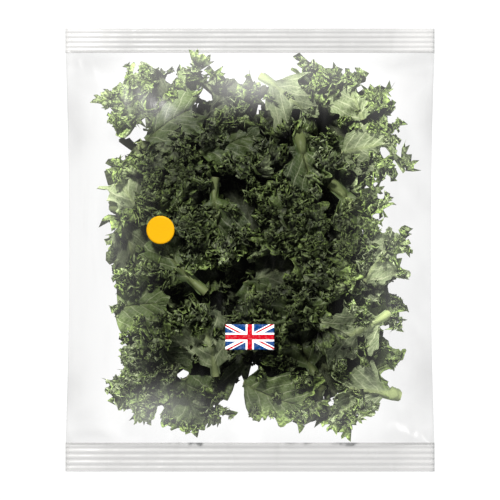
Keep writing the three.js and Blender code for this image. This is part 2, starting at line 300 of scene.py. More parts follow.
def addCamera():
    data = bpy.data.cameras.new("camera")
    data.sensor_width = 36
    data.lens = 36 * (cameraSetup["height"] - cameraSetup["level"]) / cameraSetup["field"]
    data.clip_start = 0.1
    data.clip_end = 20
    camera = bpy.data.objects.new("camera", data)
    camera.location = (0, 0, cameraSetup["height"])
    bpy.context.scene.collection.objects.link(camera)
    bpy.context.scene.camera = camera


addCamera()


pouch = {
    "width": 250,
    "length": 300,
    "height": 62,
    "seamHeight": 22,
    "wall": 0.6,
    "waist": 2.5,
    "topSeal": 15,
    "bottomSeal": 18,
    "flatFrom": 0.72,  # how full it has to be for its back to lie flat
    "filmGap": 1.2,  # between the film and the leaves
}
topEdge = pouch["length"] / 2 - pouch["topSeal"]
bottomEdge = -pouch["length"] / 2 + pouch["bottomSeal"]
middleY = (topEdge + bottomEdge) / 2
halfOpen = (topEdge - bottomEdge) / 2
rise = pouch["height"] - pouch["seamHeight"] - pouch["wall"]
drop = pouch["seamHeight"] - pouch["wall"]


def halfWidthAt(y):
    q = np.clip((y - middleY) / halfOpen, -1, 1)
    return pouch["width"] / 2 - pouch["waist"] * (1 - q * q)


def fullness(x, y):
    p = np.clip(np.abs(x) / halfWidthAt(y), 0, 1)
    q = np.clip(np.abs(y - middleY) / halfOpen, 0, 1)
    return (1 - p ** 2.4) ** 0.62 * (1 - q ** 2.6) ** 0.62


def backDrop(full):
    return drop * (1 - np.maximum(0, 1 - full / pouch["flatFrom"]) ** 1.5)


filmForm = {
    "puckerHeight": 1.3,  # of the gathers that run out from the seals
    "puckerReach": 24,
    "puckerLengths": (9.5, 13, 17, 24),
    "foldHeight": 1.0,  # of the creases that run in from the side folds
    "foldReach": 15,
    "foldLengths": (21, 34, 55),
    "dent": 1.2,  # soft hollows all over the front
    "dentLengths": (70, 52, 38, 29),
    "lift": 0.1,  # of the back over the surface it lies on
}


def gathers(x, y, seed):
    # the wrinkles next to the seals and the side folds
    total = 0
    for number, away in enumerate((topEdge - y, y - bottomEdge)):
        away = np.maximum(away, 0)
        slant = x * (1 + 0.0015 * away)
        near = np.exp(-away / filmForm["puckerReach"]) * (1 - np.exp(-away / 5))
        pucker = ripples(slant, seed + number, filmForm["puckerLengths"])
        total = total + filmForm["puckerHeight"] * near * pucker
    away = np.maximum(halfWidthAt(y) - np.abs(x), 0)
    near = np.exp(-away / filmForm["foldReach"]) * (1 - np.exp(-away / 4))
    creases = ripples(y + 0.5 * away, seed + 5, filmForm["foldLengths"])
    creases = np.where(x > 0, ripples(y - 0.5 * away, seed + 6, filmForm["foldLengths"]), creases)
    ends = np.minimum(1, np.minimum(topEdge - y, y - bottomEdge) / 20)
    return total + filmForm["foldHeight"] * near * creases * np.maximum(ends, 0)


def filmTop(x, y):
    full = fullness(x, y)
    hollow = filmForm["dent"] * (0.5 + 0.5 * swells(x, y, 31, filmForm["dentLengths"])) * full
    return pouch["seamHeight"] + 0.25 + (rise + 0.3) * full - hollow + gathers(x, y, 61)


def filmBack(x, y):
    full = fullness(x, y)
    z = pouch["seamHeight"] - 0.25 - backDrop(full) - 0.5 * gathers(x, y, 81)
    return np.maximum(z, filmForm["lift"])


def inPouch(x, y):
    return np.clip(x, -123, 123), np.clip(y, bottomEdge + 1, topEdge - 1)


def roomTop(x, y):
    return pouch["seamHeight"] + rise * fullness(x, y) - pouch["filmGap"]


def roomBottom(x, y):
    return pouch["seamHeight"] - backDrop(fullness(x, y)) + pouch["filmGap"]


# each face has a dark and a light colour; leaves go between them by their own tone and by painted light
kaleColors = {
    "blade": rgb(0.026, 0.056, 0.011),
    "bladeLight": rgb(0.265, 0.360, 0.120),
    "lime": rgb(0.225, 0.325, 0.062),
    "under": rgb(0.150, 0.195, 0.095),
    "underLight": rgb(0.330, 0.390, 0.215),
    "vein": rgb(0.480, 0.530, 0.320),
    "rib": rgb(0.290, 0.345, 0.135),
    "cut": rgb(0.430, 0.440, 0.220),
}
leafLook = {
    # how far each carries the dark colour of a face to its light one
    "toneLight": 0.26,
    "mottleLight": 0.16,
    # painted highlight: the rims of frills and the tips of curls are painted lighter
    "rimLight": 0.85,
    "lime": (0.14, 0.4),  # how green the limy leaves are in the blade, and how much more at the rim
    "ribStrands": (0.25, 2.2, 0.0),
    "depthShade": 0.96,  # painted shade: leaves are painted darker the deeper they lie in the heap
    "footShade": 0.95,  # and curls get painted shade, darkest at the foot
    "footPower": 2.1,
    "crinkleScale": 620.0,  # frills and curls are crinkled finely, and blades and stalks are smooth; the crinkles' shade and highlights are painted into the colour too
    "crinkleShade": (-0.45, 0.85),
    "grainScale": 900.0,
    # each one's share of the relief
    "grainHeight": 0.3,
    "netHeight": -0.4,
    "crinkleHeight": 0.6,
    "veinHeight": -0.8,
    "relief": 0.0003,
    "shine": 0.12,
}
# each face's dark and light colour, strength of the veins and of the net, roughness
leafFaces = {
    "kaleTop": ("blade", "bladeLight", 0.65, 0.16, 0.5),
    "kaleUnder": ("under", "underLight", 0.9, 0.4, 0.62),
}
veins = {
    "pitch": 7.0,  # between side veins, in millimetres along the rim
    "skew": 0.75,  # how far a vein runs towards the tip as it leaves the rib
    "width": 0.10,  # of a side vein, as a share of the pitch
    "netCell": 3.0,
    "netWidth": 0.14,
}


def buildVeinGroup():
    # side veins, their branches and the fine net between them, in the leaf's own coordinates
    tree = bpy.data.node_groups.new("leafVeins", "ShaderNodeTree")
    addSockets(tree, [("Pitch", "NodeSocketFloat", 7.0), ("Vein Width", "NodeSocketFloat", 0.05),
                      ("Cell Size", "NodeSocketFloat", 2.5), ("Line Width", "NodeSocketFloat", 0.12)],
               [("Veins", "NodeSocketFloat"), ("Net", "NodeSocketFloat"), ("Mottle", "NodeSocketFloat")])
    given = put(tree, "NodeGroupInput").outputs
    out = put(tree, "NodeGroupOutput")
    place = put(tree, "ShaderNodeUVMap", uv_map="UVMap").outputs[0]
    times = sums(tree)[1]
    scaled = vectorCalc(tree, "SCALE", place, calc(tree, "DIVIDE", 1.0, given["Cell Size"]))
    shift = put(tree, "ShaderNodeTexNoise", {"Vector": scaled, "Scale": 0.7, "Detail": 2.0})
    bent = vectorCalc(tree, "ADD", scaled, vectorCalc(tree, "SCALE", shift.outputs["Color"], 0.9))
    cells = put(tree, "ShaderNodeTexVoronoi", {"Vector": bent, "Scale": 1.0}, feature="DISTANCE_TO_EDGE")
    net = mapRange(tree, cells.outputs["Distance"], 0.0, given["Line Width"], 1.0, 0.0)
    mottle = noise(tree, place, 0.12, 3.0)

    def lines(way, width):
        wander = calc(tree, "MULTIPLY_ADD", calc(tree, "SUBTRACT", mottle, 0.5), 0.7, way)
        off = calc(tree, "ABSOLUTE", calc(tree, "SUBTRACT", calc(tree, "FRACT", wander), 0.5))
        return mapRange(tree, off, calc(tree, "SUBTRACT", 0.5, width), 0.5, 0.0, 1.0)

    way = put(tree, "ShaderNodeAttribute", attribute_name="veinWay").outputs["Fac"]
    branchWay = put(tree, "ShaderNodeAttribute", attribute_name="branchWay").outputs["Fac"]
    main = lines(calc(tree, "DIVIDE", way, given["Pitch"]), given["Vein Width"])
    branch = lines(calc(tree, "DIVIDE", branchWay, times(given["Pitch"], 0.42)),
                   times(given["Vein Width"], 1.2))
    both = calc(tree, "MAXIMUM", main, times(branch, 0.45))
    for key, value in (("Veins", both), ("Net", net), ("Mottle", mottle)):
        feed(tree, out.inputs[key], value)
    return tree


def leafMaterial(name):
    dark, light, veinStrength, netStrength, roughness = leafFaces[name]
    material, tree, shader = newMaterial(name)
    plus, times = sums(tree)
    pattern = put(tree, "ShaderNodeGroup", {}, node_tree=veinGroup)
    for socket, value in (("Pitch", veins["pitch"]), ("Vein Width", veins["width"]),
                          ("Cell Size", veins["netCell"]), ("Line Width", veins["netWidth"])):
        pattern.inputs[socket].default_value = value

    def stored(attribute):
        return put(tree, "ShaderNodeAttribute", attribute_name=attribute).outputs["Fac"]

    def less(share, strength):
        return calc(tree, "SUBTRACT", 1.0, times(share, strength))

    edge, blade = stored("edgeShare"), stored("bladeShare")
    veinLines, net = times(pattern.outputs["Veins"], blade), times(pattern.outputs["Net"], blade)
    mottle = mapRange(tree, pattern.outputs["Mottle"], 0.3, 0.7)
    lightShare = times(stored("leafTone"), leafLook["toneLight"])
    lightShare = plus(lightShare, times(mottle, leafLook["mottleLight"]))
    # painted highlight on the rims and curl tips
    lightShare = calc(tree, "MINIMUM", plus(lightShare, times(edge, edge, leafLook["rimLight"])), 1.0)
    color = mixColor(tree, lightShare, kaleColors[dark], kaleColors[light])
    limeShare = calc(tree, "MULTIPLY_ADD", edge, leafLook["lime"][1], leafLook["lime"][0])
    color = mixColor(tree, times(stored("limeShare"), limeShare), color, kaleColors["lime"])
    color = mixColor(tree, times(net, netStrength), color, kaleColors["vein"])
    color = mixColor(tree, times(veinLines, veinStrength), color, kaleColors["vein"])
    leafPlace = put(tree, "ShaderNodeUVMap", uv_map="UVMap").outputs[0]
    strands = noise(tree, vectorCalc(tree, "MULTIPLY", leafPlace, leafLook["ribStrands"]), 1.0, 2.0)
    ribShare = times(stored("ribShare"), mapRange(tree, strands, 0.35, 0.65, 0.55, 1.0))
    color = mixColor(tree, ribShare, color, kaleColors["rib"])
    color = mixColor(tree, stored("cutShare"), color, kaleColors["cut"])

    place = put(tree, "ShaderNodeTexCoord").outputs["Object"]
    # painted shade at the foot of each curl and on the blade under the curls
    upCurl = less(stored("footShare"), leafLook["footShade"])
    # painted shade by depth and in the heap's middle, and painted light at the light places
    shade = times(less(stored("depthShare"), leafLook["depthShade"]),
                  calc(tree, "POWER", upCurl, leafLook["footPower"]))
    # painted shade and highlight of the fine crinkles, besides their bump
    crinkle = noise(tree, place, leafLook["crinkleScale"], 2.0)
    crinkled = times(mapRange(tree, edge, 0.05, 0.6),
                     mapRange(tree, crinkle, 0.36, 0.64, *leafLook["crinkleShade"]))
    shade = times(shade, plus(1.0, crinkled))
    feed(tree, shader.inputs["Base Color"], mixColor(tree, 1.0, color, shade, "MULTIPLY"))
    grain = noise(tree, place, leafLook["grainScale"], 3.0)
    dull = mapRange(tree, grain, 0.3, 0.7, roughness - 0.06, roughness + 0.08)
    feed(tree, shader.inputs["Roughness"], dull)
    height = times(grain, leafLook["grainHeight"])
    for share, part in ((net, "netHeight"), (crinkled, "crinkleHeight"), (veinLines, "veinHeight")):
        height = plus(height, times(share, leafLook[part]))
    addBump(tree, shader, height, leafLook["relief"], 0.8)
    shader.inputs["Specular IOR Level"].default_value = leafLook["shine"]
    return material


veinGroup = buildVeinGroup()
topMaterial = leafMaterial("kaleTop")
underMaterial = leafMaterial("kaleUnder")
print("kale materials ready")


frill = {
    "curl": (0.4, 1.3),  # how far the frill rolls up at the rim, in radians
    "curlChange": (0.5, 1.1),
    # in millimetres at the rim
    "swell": 2.4,
    "wave": 4.0,
    "ripple": 1.8,
    "fold": 1.2,
    "crumple": 3.2,
    "crumpleSize": 4.5,
}


def buildFrillTree():
    tree, given = newGeometryTree("leafFrill", [
        ("Curl", "NodeSocketFloat", 1.0),
        ("Curl Change", "NodeSocketFloat", 0.6),
        ("Swell Height", "NodeSocketFloat", 0.002),
        ("Wave Height", "NodeSocketFloat", 0.003),
        ("Ripple Height", "NodeSocketFloat", 0.001),
        ("Fold Width", "NodeSocketFloat", 0.001),
        ("Crumple", "NodeSocketFloat", 0.001),
        ("Crumple Size", "NodeSocketFloat", 0.003),
        ("Seed", "NodeSocketInt", 0),
        ("Material", "NodeSocketMaterial", None),
    ])
    plus, times = sums(tree)

    def added(first, second):
        return vectorCalc(tree, "ADD", first, second)

    def scaled(vector, size):
        return vectorCalc(tree, "SCALE", vector, size)

    def wave(angle, power, height):
        return times(calc(tree, "SINE", angle), calc(tree, "POWER", share, power), height)

    share, length, phase = (geometryValue(tree, name) for name in ("edgeShare", "frillLength", "rimPhase"))
    outward = geometryValue(tree, "outward", "FLOAT_VECTOR")
    angle = times(phase, turn)
    slow = calc(tree, "SINE", plus(times(angle, 0.31), times(given["Seed"], 1.7)))
    bend = calc(tree, "MULTIPLY_ADD", slow, given["Curl Change"], given["Curl"])
    bend = plus(times(bend, share), 0.0003)
    sheet = times(length, share)
    sine, cosine = calc(tree, "SINE", bend), calc(tree, "COSINE", bend)
    outPart = times(sheet, calc(tree, "SUBTRACT", calc(tree, "DIVIDE", sine, bend), 1.0))
    upPart = times(sheet, calc(tree, "DIVIDE", calc(tree, "SUBTRACT", 1.0, cosine), bend))
    up = put(tree, "ShaderNodeCombineXYZ", {"X": 0.0, "Y": 0.0, "Z": 1.0}).outputs[0]
    beside = vectorCalc(tree, "CROSS_PRODUCT", up, outward)
    facing = added(scaled(up, cosine), scaled(outward, times(sine, -1.0)))

    # three sizes of ruffle, each finer one nearer the rim
    swellAngle = plus(times(angle, 0.5), given["Seed"])
    rippleAngle = times(angle, 2.37)
    ruffle = plus(wave(swellAngle, 0.6, given["Swell Height"]), wave(angle, 1.1, given["Wave Height"]))
    ruffle = plus(ruffle, wave(rippleAngle, 2.0, given["Ripple Height"]))
    # each ruffle leans over its neighbours
    fold = times(calc(tree, "SINE", times(angle, 2.0)), share, given["Fold Width"], -1.0)
    fineFold = times(calc(tree, "SINE", times(rippleAngle, 2.0)), calc(tree, "POWER", share, 2.0),
                     given["Fold Width"], -0.4)

    place = put(tree, "GeometryNodeInputPosition").outputs[0]
    uneven = put(tree, "ShaderNodeTexNoise", {
        "Vector": scaled(place, calc(tree, "DIVIDE", 1.0, given["Crumple Size"])),
        "W": times(given["Seed"], 3.7), "Scale": 1.0, "Detail": 1.0}, noise_dimensions="4D")
    centred = vectorCalc(tree, "SUBTRACT", uneven.outputs["Color"], (0.5, 0.5, 0.5))
    crumple = scaled(centred, times(given["Crumple"], calc(tree, "MULTIPLY_ADD", share, 0.68, 0.32)))

    move = added(scaled(outward, outPart), scaled(up, upPart))
    move = added(move, scaled(beside, plus(fold, fineFold)))
    move = added(added(move, scaled(facing, ruffle)), crumple)
    moved = put(tree, "GeometryNodeSetPosition", {"Geometry": given["Geometry"], "Offset": move})
    endTree(tree, moved.outputs[0], given["Material"])
    return tree


frillTree = buildFrillTree()
print("frill tree ready")


curl = {
    "kinds": 12,
    "lobes": 1,  # so many of the last kinds are wide lobes that lean over, and the others tight curls
    "points": 14,
    # each of the next has a range for a curl and then one for a lobe, and lengths are in millimetres
    "height": ((3.2, 6.0), (3.4, 5.0)),
    "run": ((7.5, 14.0), (10.0, 14.0)),  # length of the strip's foot, unrolled
    "winding": ((1.2, 2.4), (0.4, 0.9)),
    "flare": ((1.4, 2.9), (1.1, 1.9)),  # how far the rim swings to each side
    "waves": ((0.9, 1.6), (1.5, 2.3)),
    "lean": ((0.0, 1.5), (3.0, 5.0)),
    "thickness": 0.5,
    "sizes": (0.4, 2.3),  # of the scattered curls, next to these
    "levels": (0.0, 0.6, 1.0),  # up the strip, from its foot to its rim
    "tilt": 0.85,
    "toneChange": 0.28,
    # how they gather in patches on the frills, and in tufts on the blades, as wave lengths
    "patchLengths": (12, 17, 9, 23),
    "tuftLengths": (11, 15, 8),
    "tufts": 0.45,
    "offFace": 0.12,  # how many sit on the side turned away
    "gapClearing": 3.5,
    "bladeShade": 0.5,  # how far they shade the blade below them
}


def buildCurl(kind):
    # a strip that winds on a short foot and whose rim swings from side to side, closed and thin
    seed = 500 + kind
    count = curl["points"]
    lobed = int(kind >= curl["kinds"] - curl["lobes"])
    p = np.linspace(-1, 1, count)
    winding = spread(seed, 1, *curl["winding"][lobed])
    bearing = winding * np.sin(math.pi * (p * spread(seed, 2, 1.0, 1.9) + draw(seed, 3)))
    step = np.stack([np.cos(bearing), np.sin(bearing)], -1)
    plan = np.cumsum(step, 0)
    run = spread(seed, 4, *curl["run"][lobed])
    plan = (plan - plan.mean(0)) * run / count
    aside = np.stack([-step[:, 1], step[:, 0]], -1)
    flare = spread(seed, 5, *curl["flare"][lobed])
    swing = flare * np.sin(turn * (p * spread(seed, 6, *curl["waves"][lobed]) + draw(seed, 7)))
    tall = spread(seed, 8, *curl["height"][lobed])
    lean = spread(seed, 9, *curl["lean"][lobed])
    nick = 1 + (0.14 - 0.1 * lobed) * np.sin(turn * 2.4 * p + 2 * seed)
    rounded = 1 - 0.5 * lobed * p ** 4
    rows = []
    for level in curl["levels"]:
        flat = plan * (0.35 + 0.65 * level) + aside * (swing * level ** 1.7)[:, None]
        flat = flat + [0, lean * level ** 1.4]
        height = level - 0.25 * level ** 3 * np.abs(swing) / flare
        height = tall * height * (nick * rounded) ** level - 0.6
        rows.append(np.concatenate([flat, height[:, None]], -1))
    grid = np.stack(rows, 1)  # along the strip, then up it
    inner = (slice(1, -1), slice(1, -1))
    thick = np.zeros(grid.shape)
    thick[inner][..., :2] = aside[1:-1, None] * curl["thickness"] / 2
    levels = grid.shape[1]
    index = np.arange(count * levels).reshape(count, levels)
    behind = index.copy()
    behind[inner] = count * levels + np.arange((count - 2) * (levels - 2)).reshape(count - 2, levels - 2)
    faces = []
    for sheet, flip in ((index, True), (behind, False)):
        for i in range(count - 1):
            for j in range(levels - 1):
                corners = [sheet[i, j], sheet[i + 1, j], sheet[i + 1, j + 1], sheet[i, j + 1]]
                faces.append(corners[::-1] if flip else corners)
    points = np.concatenate([(grid + thick).reshape(-1, 3), (grid - thick)[inner].reshape(-1, 3)])

    def onBothSides(values):
        spreadOut = np.broadcast_to(values, (count, levels))
        return np.concatenate([spreadOut.ravel(), spreadOut[inner].ravel()])

    level = onBothSides(np.array(curl["levels"]))
    way = onBothSides(p[:, None] * run / 2)
    piece = meshObject(f"curl{kind}", points * mm, faces, points[:, :2] * 2 + 40 * kind)
    # the foot attribute paints shade at the foot of each curl, none at its rim
    for key, values in (("edgeShare", level), ("footShare", 1 - level), ("veinWay", way * 1.6),
                        ("branchWay", way * 1.6 + level * 2), ("bladeShare", 0.8 * lobed * (1 - level ** 3))):
        addAttribute(piece, key, "FLOAT", values)
    sides = piece.data.attributes.new("lowerSide", "BOOLEAN", "FACE")
    half = len(faces) // 2
    sides.data.foreach_set("value", [False] * half + [True] * half)
    return piece


def buildCurls():
    kept = bpy.data.collections.new("curls")
    bpy.context.scene.collection.children.link(kept)
    for kind in range(curl["kinds"]):
        piece = buildCurl(kind)
        bpy.context.scene.collection.objects.unlink(piece)
        kept.objects.link(piece)
    return kept


def buildCurlTree():
    # curls scattered over a leaf where its curl share is high
    tree, given = newGeometryTree("curlyMargin", [
        ("Curls", "NodeSocketCollection", None),
        ("Density", "NodeSocketFloat", 1000.0),
        ("Size", "NodeSocketFloat", 1.0),
        ("Tilt", "NodeSocketFloat", 0.6),
        ("Turn Over", "NodeSocketFloat", 0.0),
        ("Tone Change", "NodeSocketFloat", 0.3),
        ("Seed", "NodeSocketInt", 0),
        ("Upper Material", "NodeSocketMaterial", None),
        ("Lower Material", "NodeSocketMaterial", None),
    ])
    plus, times = sums(tree)

    def random(low, high, step):
        inputs = {"Seed": plus(given["Seed"], float(step)), 2: low, 3: high}
        return put(tree, "FunctionNodeRandomValue", inputs, data_type="FLOAT").outputs[1]

    scatter = put(tree, "GeometryNodeDistributePointsOnFaces", {
        "Mesh": given["Geometry"], "Seed": given["Seed"],
        "Density": times(geometryValue(tree, "curlShare"), given["Density"])})
    kinds = put(tree, "GeometryNodeCollectionInfo", {
        "Collection": given["Curls"], "Separate Children": True, "Reset Children": True})
    lean = times(given["Tilt"], -1.0)
    turned = put(tree, "ShaderNodeCombineXYZ", {
        "X": plus(random(lean, given["Tilt"], 1), given["Turn Over"]),
        "Y": random(lean, given["Tilt"], 2), "Z": random(0.0, turn, 3)}).outputs[0]
    size = random(math.sqrt(curl["sizes"][0]), math.sqrt(curl["sizes"][1]), 4)
    size = times(size, size, given["Size"])
    placed = put(tree, "GeometryNodeInstanceOnPoints", {
        "Points": scatter.outputs["Points"], "Instance": kinds.outputs[0], "Pick Instance": True,
        "Rotation": turned, "Scale": size})
    change = random(times(given["Tone Change"], -1.0), given["Tone Change"], 5)
    toned = put(tree, "GeometryNodeStoreNamedAttribute", {
        "Geometry": placed.outputs[0], "Name": "leafTone",
        "Value": plus(geometryValue(tree, "leafTone"), change)}, data_type="FLOAT", domain="INSTANCE")
    real = put(tree, "GeometryNodeRealizeInstances", {"Geometry": toned.outputs[0]})
    upper = put(tree, "GeometryNodeSetMaterial", {
        "Geometry": real.outputs[0], "Material": given["Upper Material"]})
    lower = put(tree, "GeometryNodeSetMaterial", {
        "Geometry": upper.outputs[0], "Material": given["Lower Material"],
        "Selection": geometryValue(tree, "lowerSide", "BOOLEAN")})
    joined = put(tree, "GeometryNodeJoinGeometry")
    for geometry in (lower.outputs[0], given["Geometry"]):
        tree.links.new(geometry, joined.inputs[0])
    feed(tree, put(tree, "NodeGroupOutput").inputs[0], joined.outputs[0])
    return tree


stalk = {
    "beyond": 11,  # how far it runs on under the blade, in millimetres
    "tip": 0.3,  # its thickness there, as a share of that at the cut end
    "around": 12,
    "clearing": 4.5,  # how far curls keep away from it
    "sunk": 0.6,  # how far it lies below the blade, as a share of its radius
    "ribShare": (0.95, 0.4),  # how much of the rib's colour it has, and how much less at its tip
    "tone": 0.6,
}


def buildStalkTree():
    # a round stalk that follows the rib and thins out along it
    tree, given = newGeometryTree("leafStalk", [
        ("Radius", "NodeSocketFloat", 0.003),
        ("Tip Share", "NodeSocketFloat", 0.3),
        ("Around", "NodeSocketInt", 12),
        ("Material", "NodeSocketMaterial", None),
    ])
    path = put(tree, "GeometryNodeMeshToCurve", {"Mesh": given["Geometry"]})
    way = geometryValue(tree, "stalkWay")
    thinning = mapRange(tree, way, 0.0, 1.0, 1.0, given["Tip Share"])
    radius = calc(tree, "MULTIPLY", thinning, given["Radius"])
    ring = put(tree, "GeometryNodeCurvePrimitiveCircle", {"Resolution": given["Around"], "Radius": 1.0})
    tube = put(tree, "GeometryNodeCurveToMesh", {
        "Curve": path.outputs[0], "Profile Curve": ring.outputs[0], "Scale": radius, "Fill Caps": True})
    endTree(tree, tube.outputs[0], given["Material"])
    return tree


stalkTree = buildStalkTree()
curlKinds = buildCurls()
curlTree = buildCurlTree()
print("curls ready:", curl["kinds"], "kinds")


heap = {"x": 2, "y": 3, "halfWidth": 86, "halfLength": 104}  # over which the hidden leaves are spread
# the heap seen from the front, going round clockwise from its upper left
heapOutline = [
    (-85, 118), (-76, 123), (-66, 127), (-55, 126), (-34, 123), (-30, 114), (-23, 127), (-15, 130),
    (-11, 119), (0, 115), (22, 122), (46, 129), (56, 127), (61, 118), (84, 110), (100, 108),
    (98, 94), (90, 88), (102, 83), (100, 54), (92, 34), (101, 23), (105, 3), (103, -27), (106, -46),
    (99, -58), (106, -71), (96, -85), (102, -100), (86, -115), (57, -115), (40, -125), (23, -116),
    (11, -120), (-3, -108), (-9, -100), (-19, -117), (-33, -124), (-54, -123), (-67, -109),
    (-96, -111), (-90, -85), (-84, -68), (-94, -40), (-97, -12), (-101, 10), (-96, 22), (-103, 34),
    (-106, 48), (-100, 56), (-82, 61), (-89, 82), (-100, 92), (-91, 106),
]
leafGap = 1.4
# where light shows between the leaves: place and radius
gaps = [
    (-38, 112, 3.6), (-67, 99, 3.6), (-34, 96, 3.4), (-84, 79, 3.6),
    (-70, 86, 3.4), (-29, 104, 3.4), (-53, 116, 3), (75, 108, 3), (83, 111, 2.8), (90, 101, 2.6),
    (36, 113, 2.6), (31, 92, 2.4), (54, 126, 2.4), (67, 48, 2.8), (90, 66, 2.4), (94, 26, 3.4),
    (86, 24, 2.4), (102, -8, 3.4), (96, -26, 2.6), (103, -42, 2.6), (74, -34, 2.4), (98, -62, 2.8),
    (92, -85, 3), (97, -96, 2.6), (47, -92, 3.6), (-34, -102, 3), (-45, -84, 3), (-87, -103, 3),
    (-98, 48, 4.2), (-96, 17, 4.2), (-100, 37, 3.4), (-92, 29, 2.6), (-95, -4, 3), (-92, -35, 2.6),
    (74, -55, 2.2), (6, 88, 2.2), (-90, 96, 2.8),
]
# where the front leaves catch more light, or lie in the shade: place, half width and length, amount
lightPlaces = [
    (-96, 5, 16, 92, 0.5), (50, 76, 16, 20, 0.75), (98, -48, 15, 28, 0.6), (68, -32, 14, 9, 0.7),
    (-38, -50, 12, 20, 0.7), (-21, -10, 17, 10, 1.5), (45, -52, 8, 7, 0.5),
    (-35, 87, 13, 9, -0.9), (0, 76, 30, 13, -0.7), (-46, 52, 14, 10, -0.8), (70, 10, 13, 15, -0.9),
    (21, -28, 13, 10, -0.8), (14, 18, 24, 14, -0.5), (5, -102, 42, 10, -0.7), (-35, 4, 14, 22, -0.4),
]
gapReach = 2.3  # times its radius, as far as leaves draw back from a gap
# each layer's place between the two sheets of film, from 0 to 1, and how far inside the outline it ends
layerPlaces = {
    "front": (0.68, 0.96, 0),
    "second": (0.46, 0.68, 2),
    "middle": (0.26, 0.45, 18),
    "back": (0.04, 0.24, 20),
}
# place, heading of the rib, length, width, widening to the tip, face up, bare rib length and thickness,
# then how much of the half width is frill, in millimetres, degrees and shares
leafFields = ("x", "y", "heading", "long", "wide", "fan", "face", "stalk", "rib", "frill")
frontLeaves = [
    (25, 101, -42, 60, 50, 0.5, "under", 8, 5, 0.35),
    (-49, 85, 30, 62, 48, 0, "top", 0, 4, 0.4),
    (83, 68, 8, 60, 54, 0.4, "under", 0, 4, 0.4),
    (38, 61, -75, 46, 34, 0, "top", 13, 9, 0.6),
    (-86, 41, 122, 52, 42, 0, "under", 0, 4, 0.5),
    (-57, 40, 80, 48, 46, 0, "top", 0, 3, 0.8),
    (-12, 73, 20, 46, 40, 0.2, "top", 0, 3, 0.6),
    (69, 28, -50, 50, 42, 0.2, "top", 10, 8, 0.72),
    (-19, 23, -80, 52, 44, 0, "top", 12, 5, 0.7),
    (24, 19, 95, 50, 44, 0, "top", 0, 3, 0.75),
    (93, -2, 50, 50, 38, 0.3, "under", 0, 4, 0.66),
    (-78, -38, 5, 60, 50, 0, "top", 0, 4, 0.55),
    (-47, -8, 130, 52, 44, 0, "top", 12, 6, 0.62),
    (-29, -62, 105, 46, 54, 0.9, "under", 4, 5, 0.4),
    (47, -20, 60, 50, 46, 0, "top", 0, 3, 0.8),
    (69, -54, 205, 52, 42, 0.4, "under", 6, 5, 0.45),
    (-77, -88, 200, 50, 48, 0, "top", 0, 3, 0.8),
    (19, -98, -20, 50, 42, 0.2, "top", 0, 4, 0.6),
    (83, -96, 172, 54, 44, 0.2, "under", 10, 6, 0.5),
    (8, -40, -60, 44, 38, 0, "top", 0, 3, 0.7),
    (-78, 97, 140, 48, 44, 0, "top", 0, 3, 0.7),
    (68, 104, 115, 46, 40, 0, "under", 0, 4, 0.6),
]
secondLeaves = [
    (-60, 112, 100, 52, 42, 0, "under", 0, 3, 0.6),
    (-18, 110, 60, 50, 44, 0.3, "under", 0, 3, 0.6),
    (44, 113, 80, 48, 44, 0, "top", 0, 3, 0.6),
    (88, 98, 60, 44, 36, 0, "top", 0, 3, 0.6),
    (-76, 64, -50, 54, 44, 0, "under", 8, 5, 0.5),
    (12, 62, -30, 58, 50, 0, "top", 0, 4, 0.6),
    (62, 52, -110, 54, 46, 0, "top", 0, 4, 0.6),
    (-38, 14, 160, 58, 50, 0, "top", 0, 4, 0.6),
    (-84, 4, -75, 60, 38, 0, "under", 12, 6, 0.5),
    (92, -36, -80, 54, 44, 0, "top", 0, 4, 0.6),
    (30, -12, 20, 56, 50, 0, "under", 0, 4, 0.6),
    (-58, -64, -30, 56, 46, 0.2, "top", 0, 4, 0.6),
    (40, -70, 110, 54, 46, 0, "top", 10, 6, 0.6),
    (96, -74, 30, 46, 40, 0, "top", 0, 3, 0.6),
    (-38, -106, -75, 52, 46, 0, "top", 0, 3, 0.6),
    (46, -110, -85, 48, 40, 0, "under", 12, 6, 0.5),
]
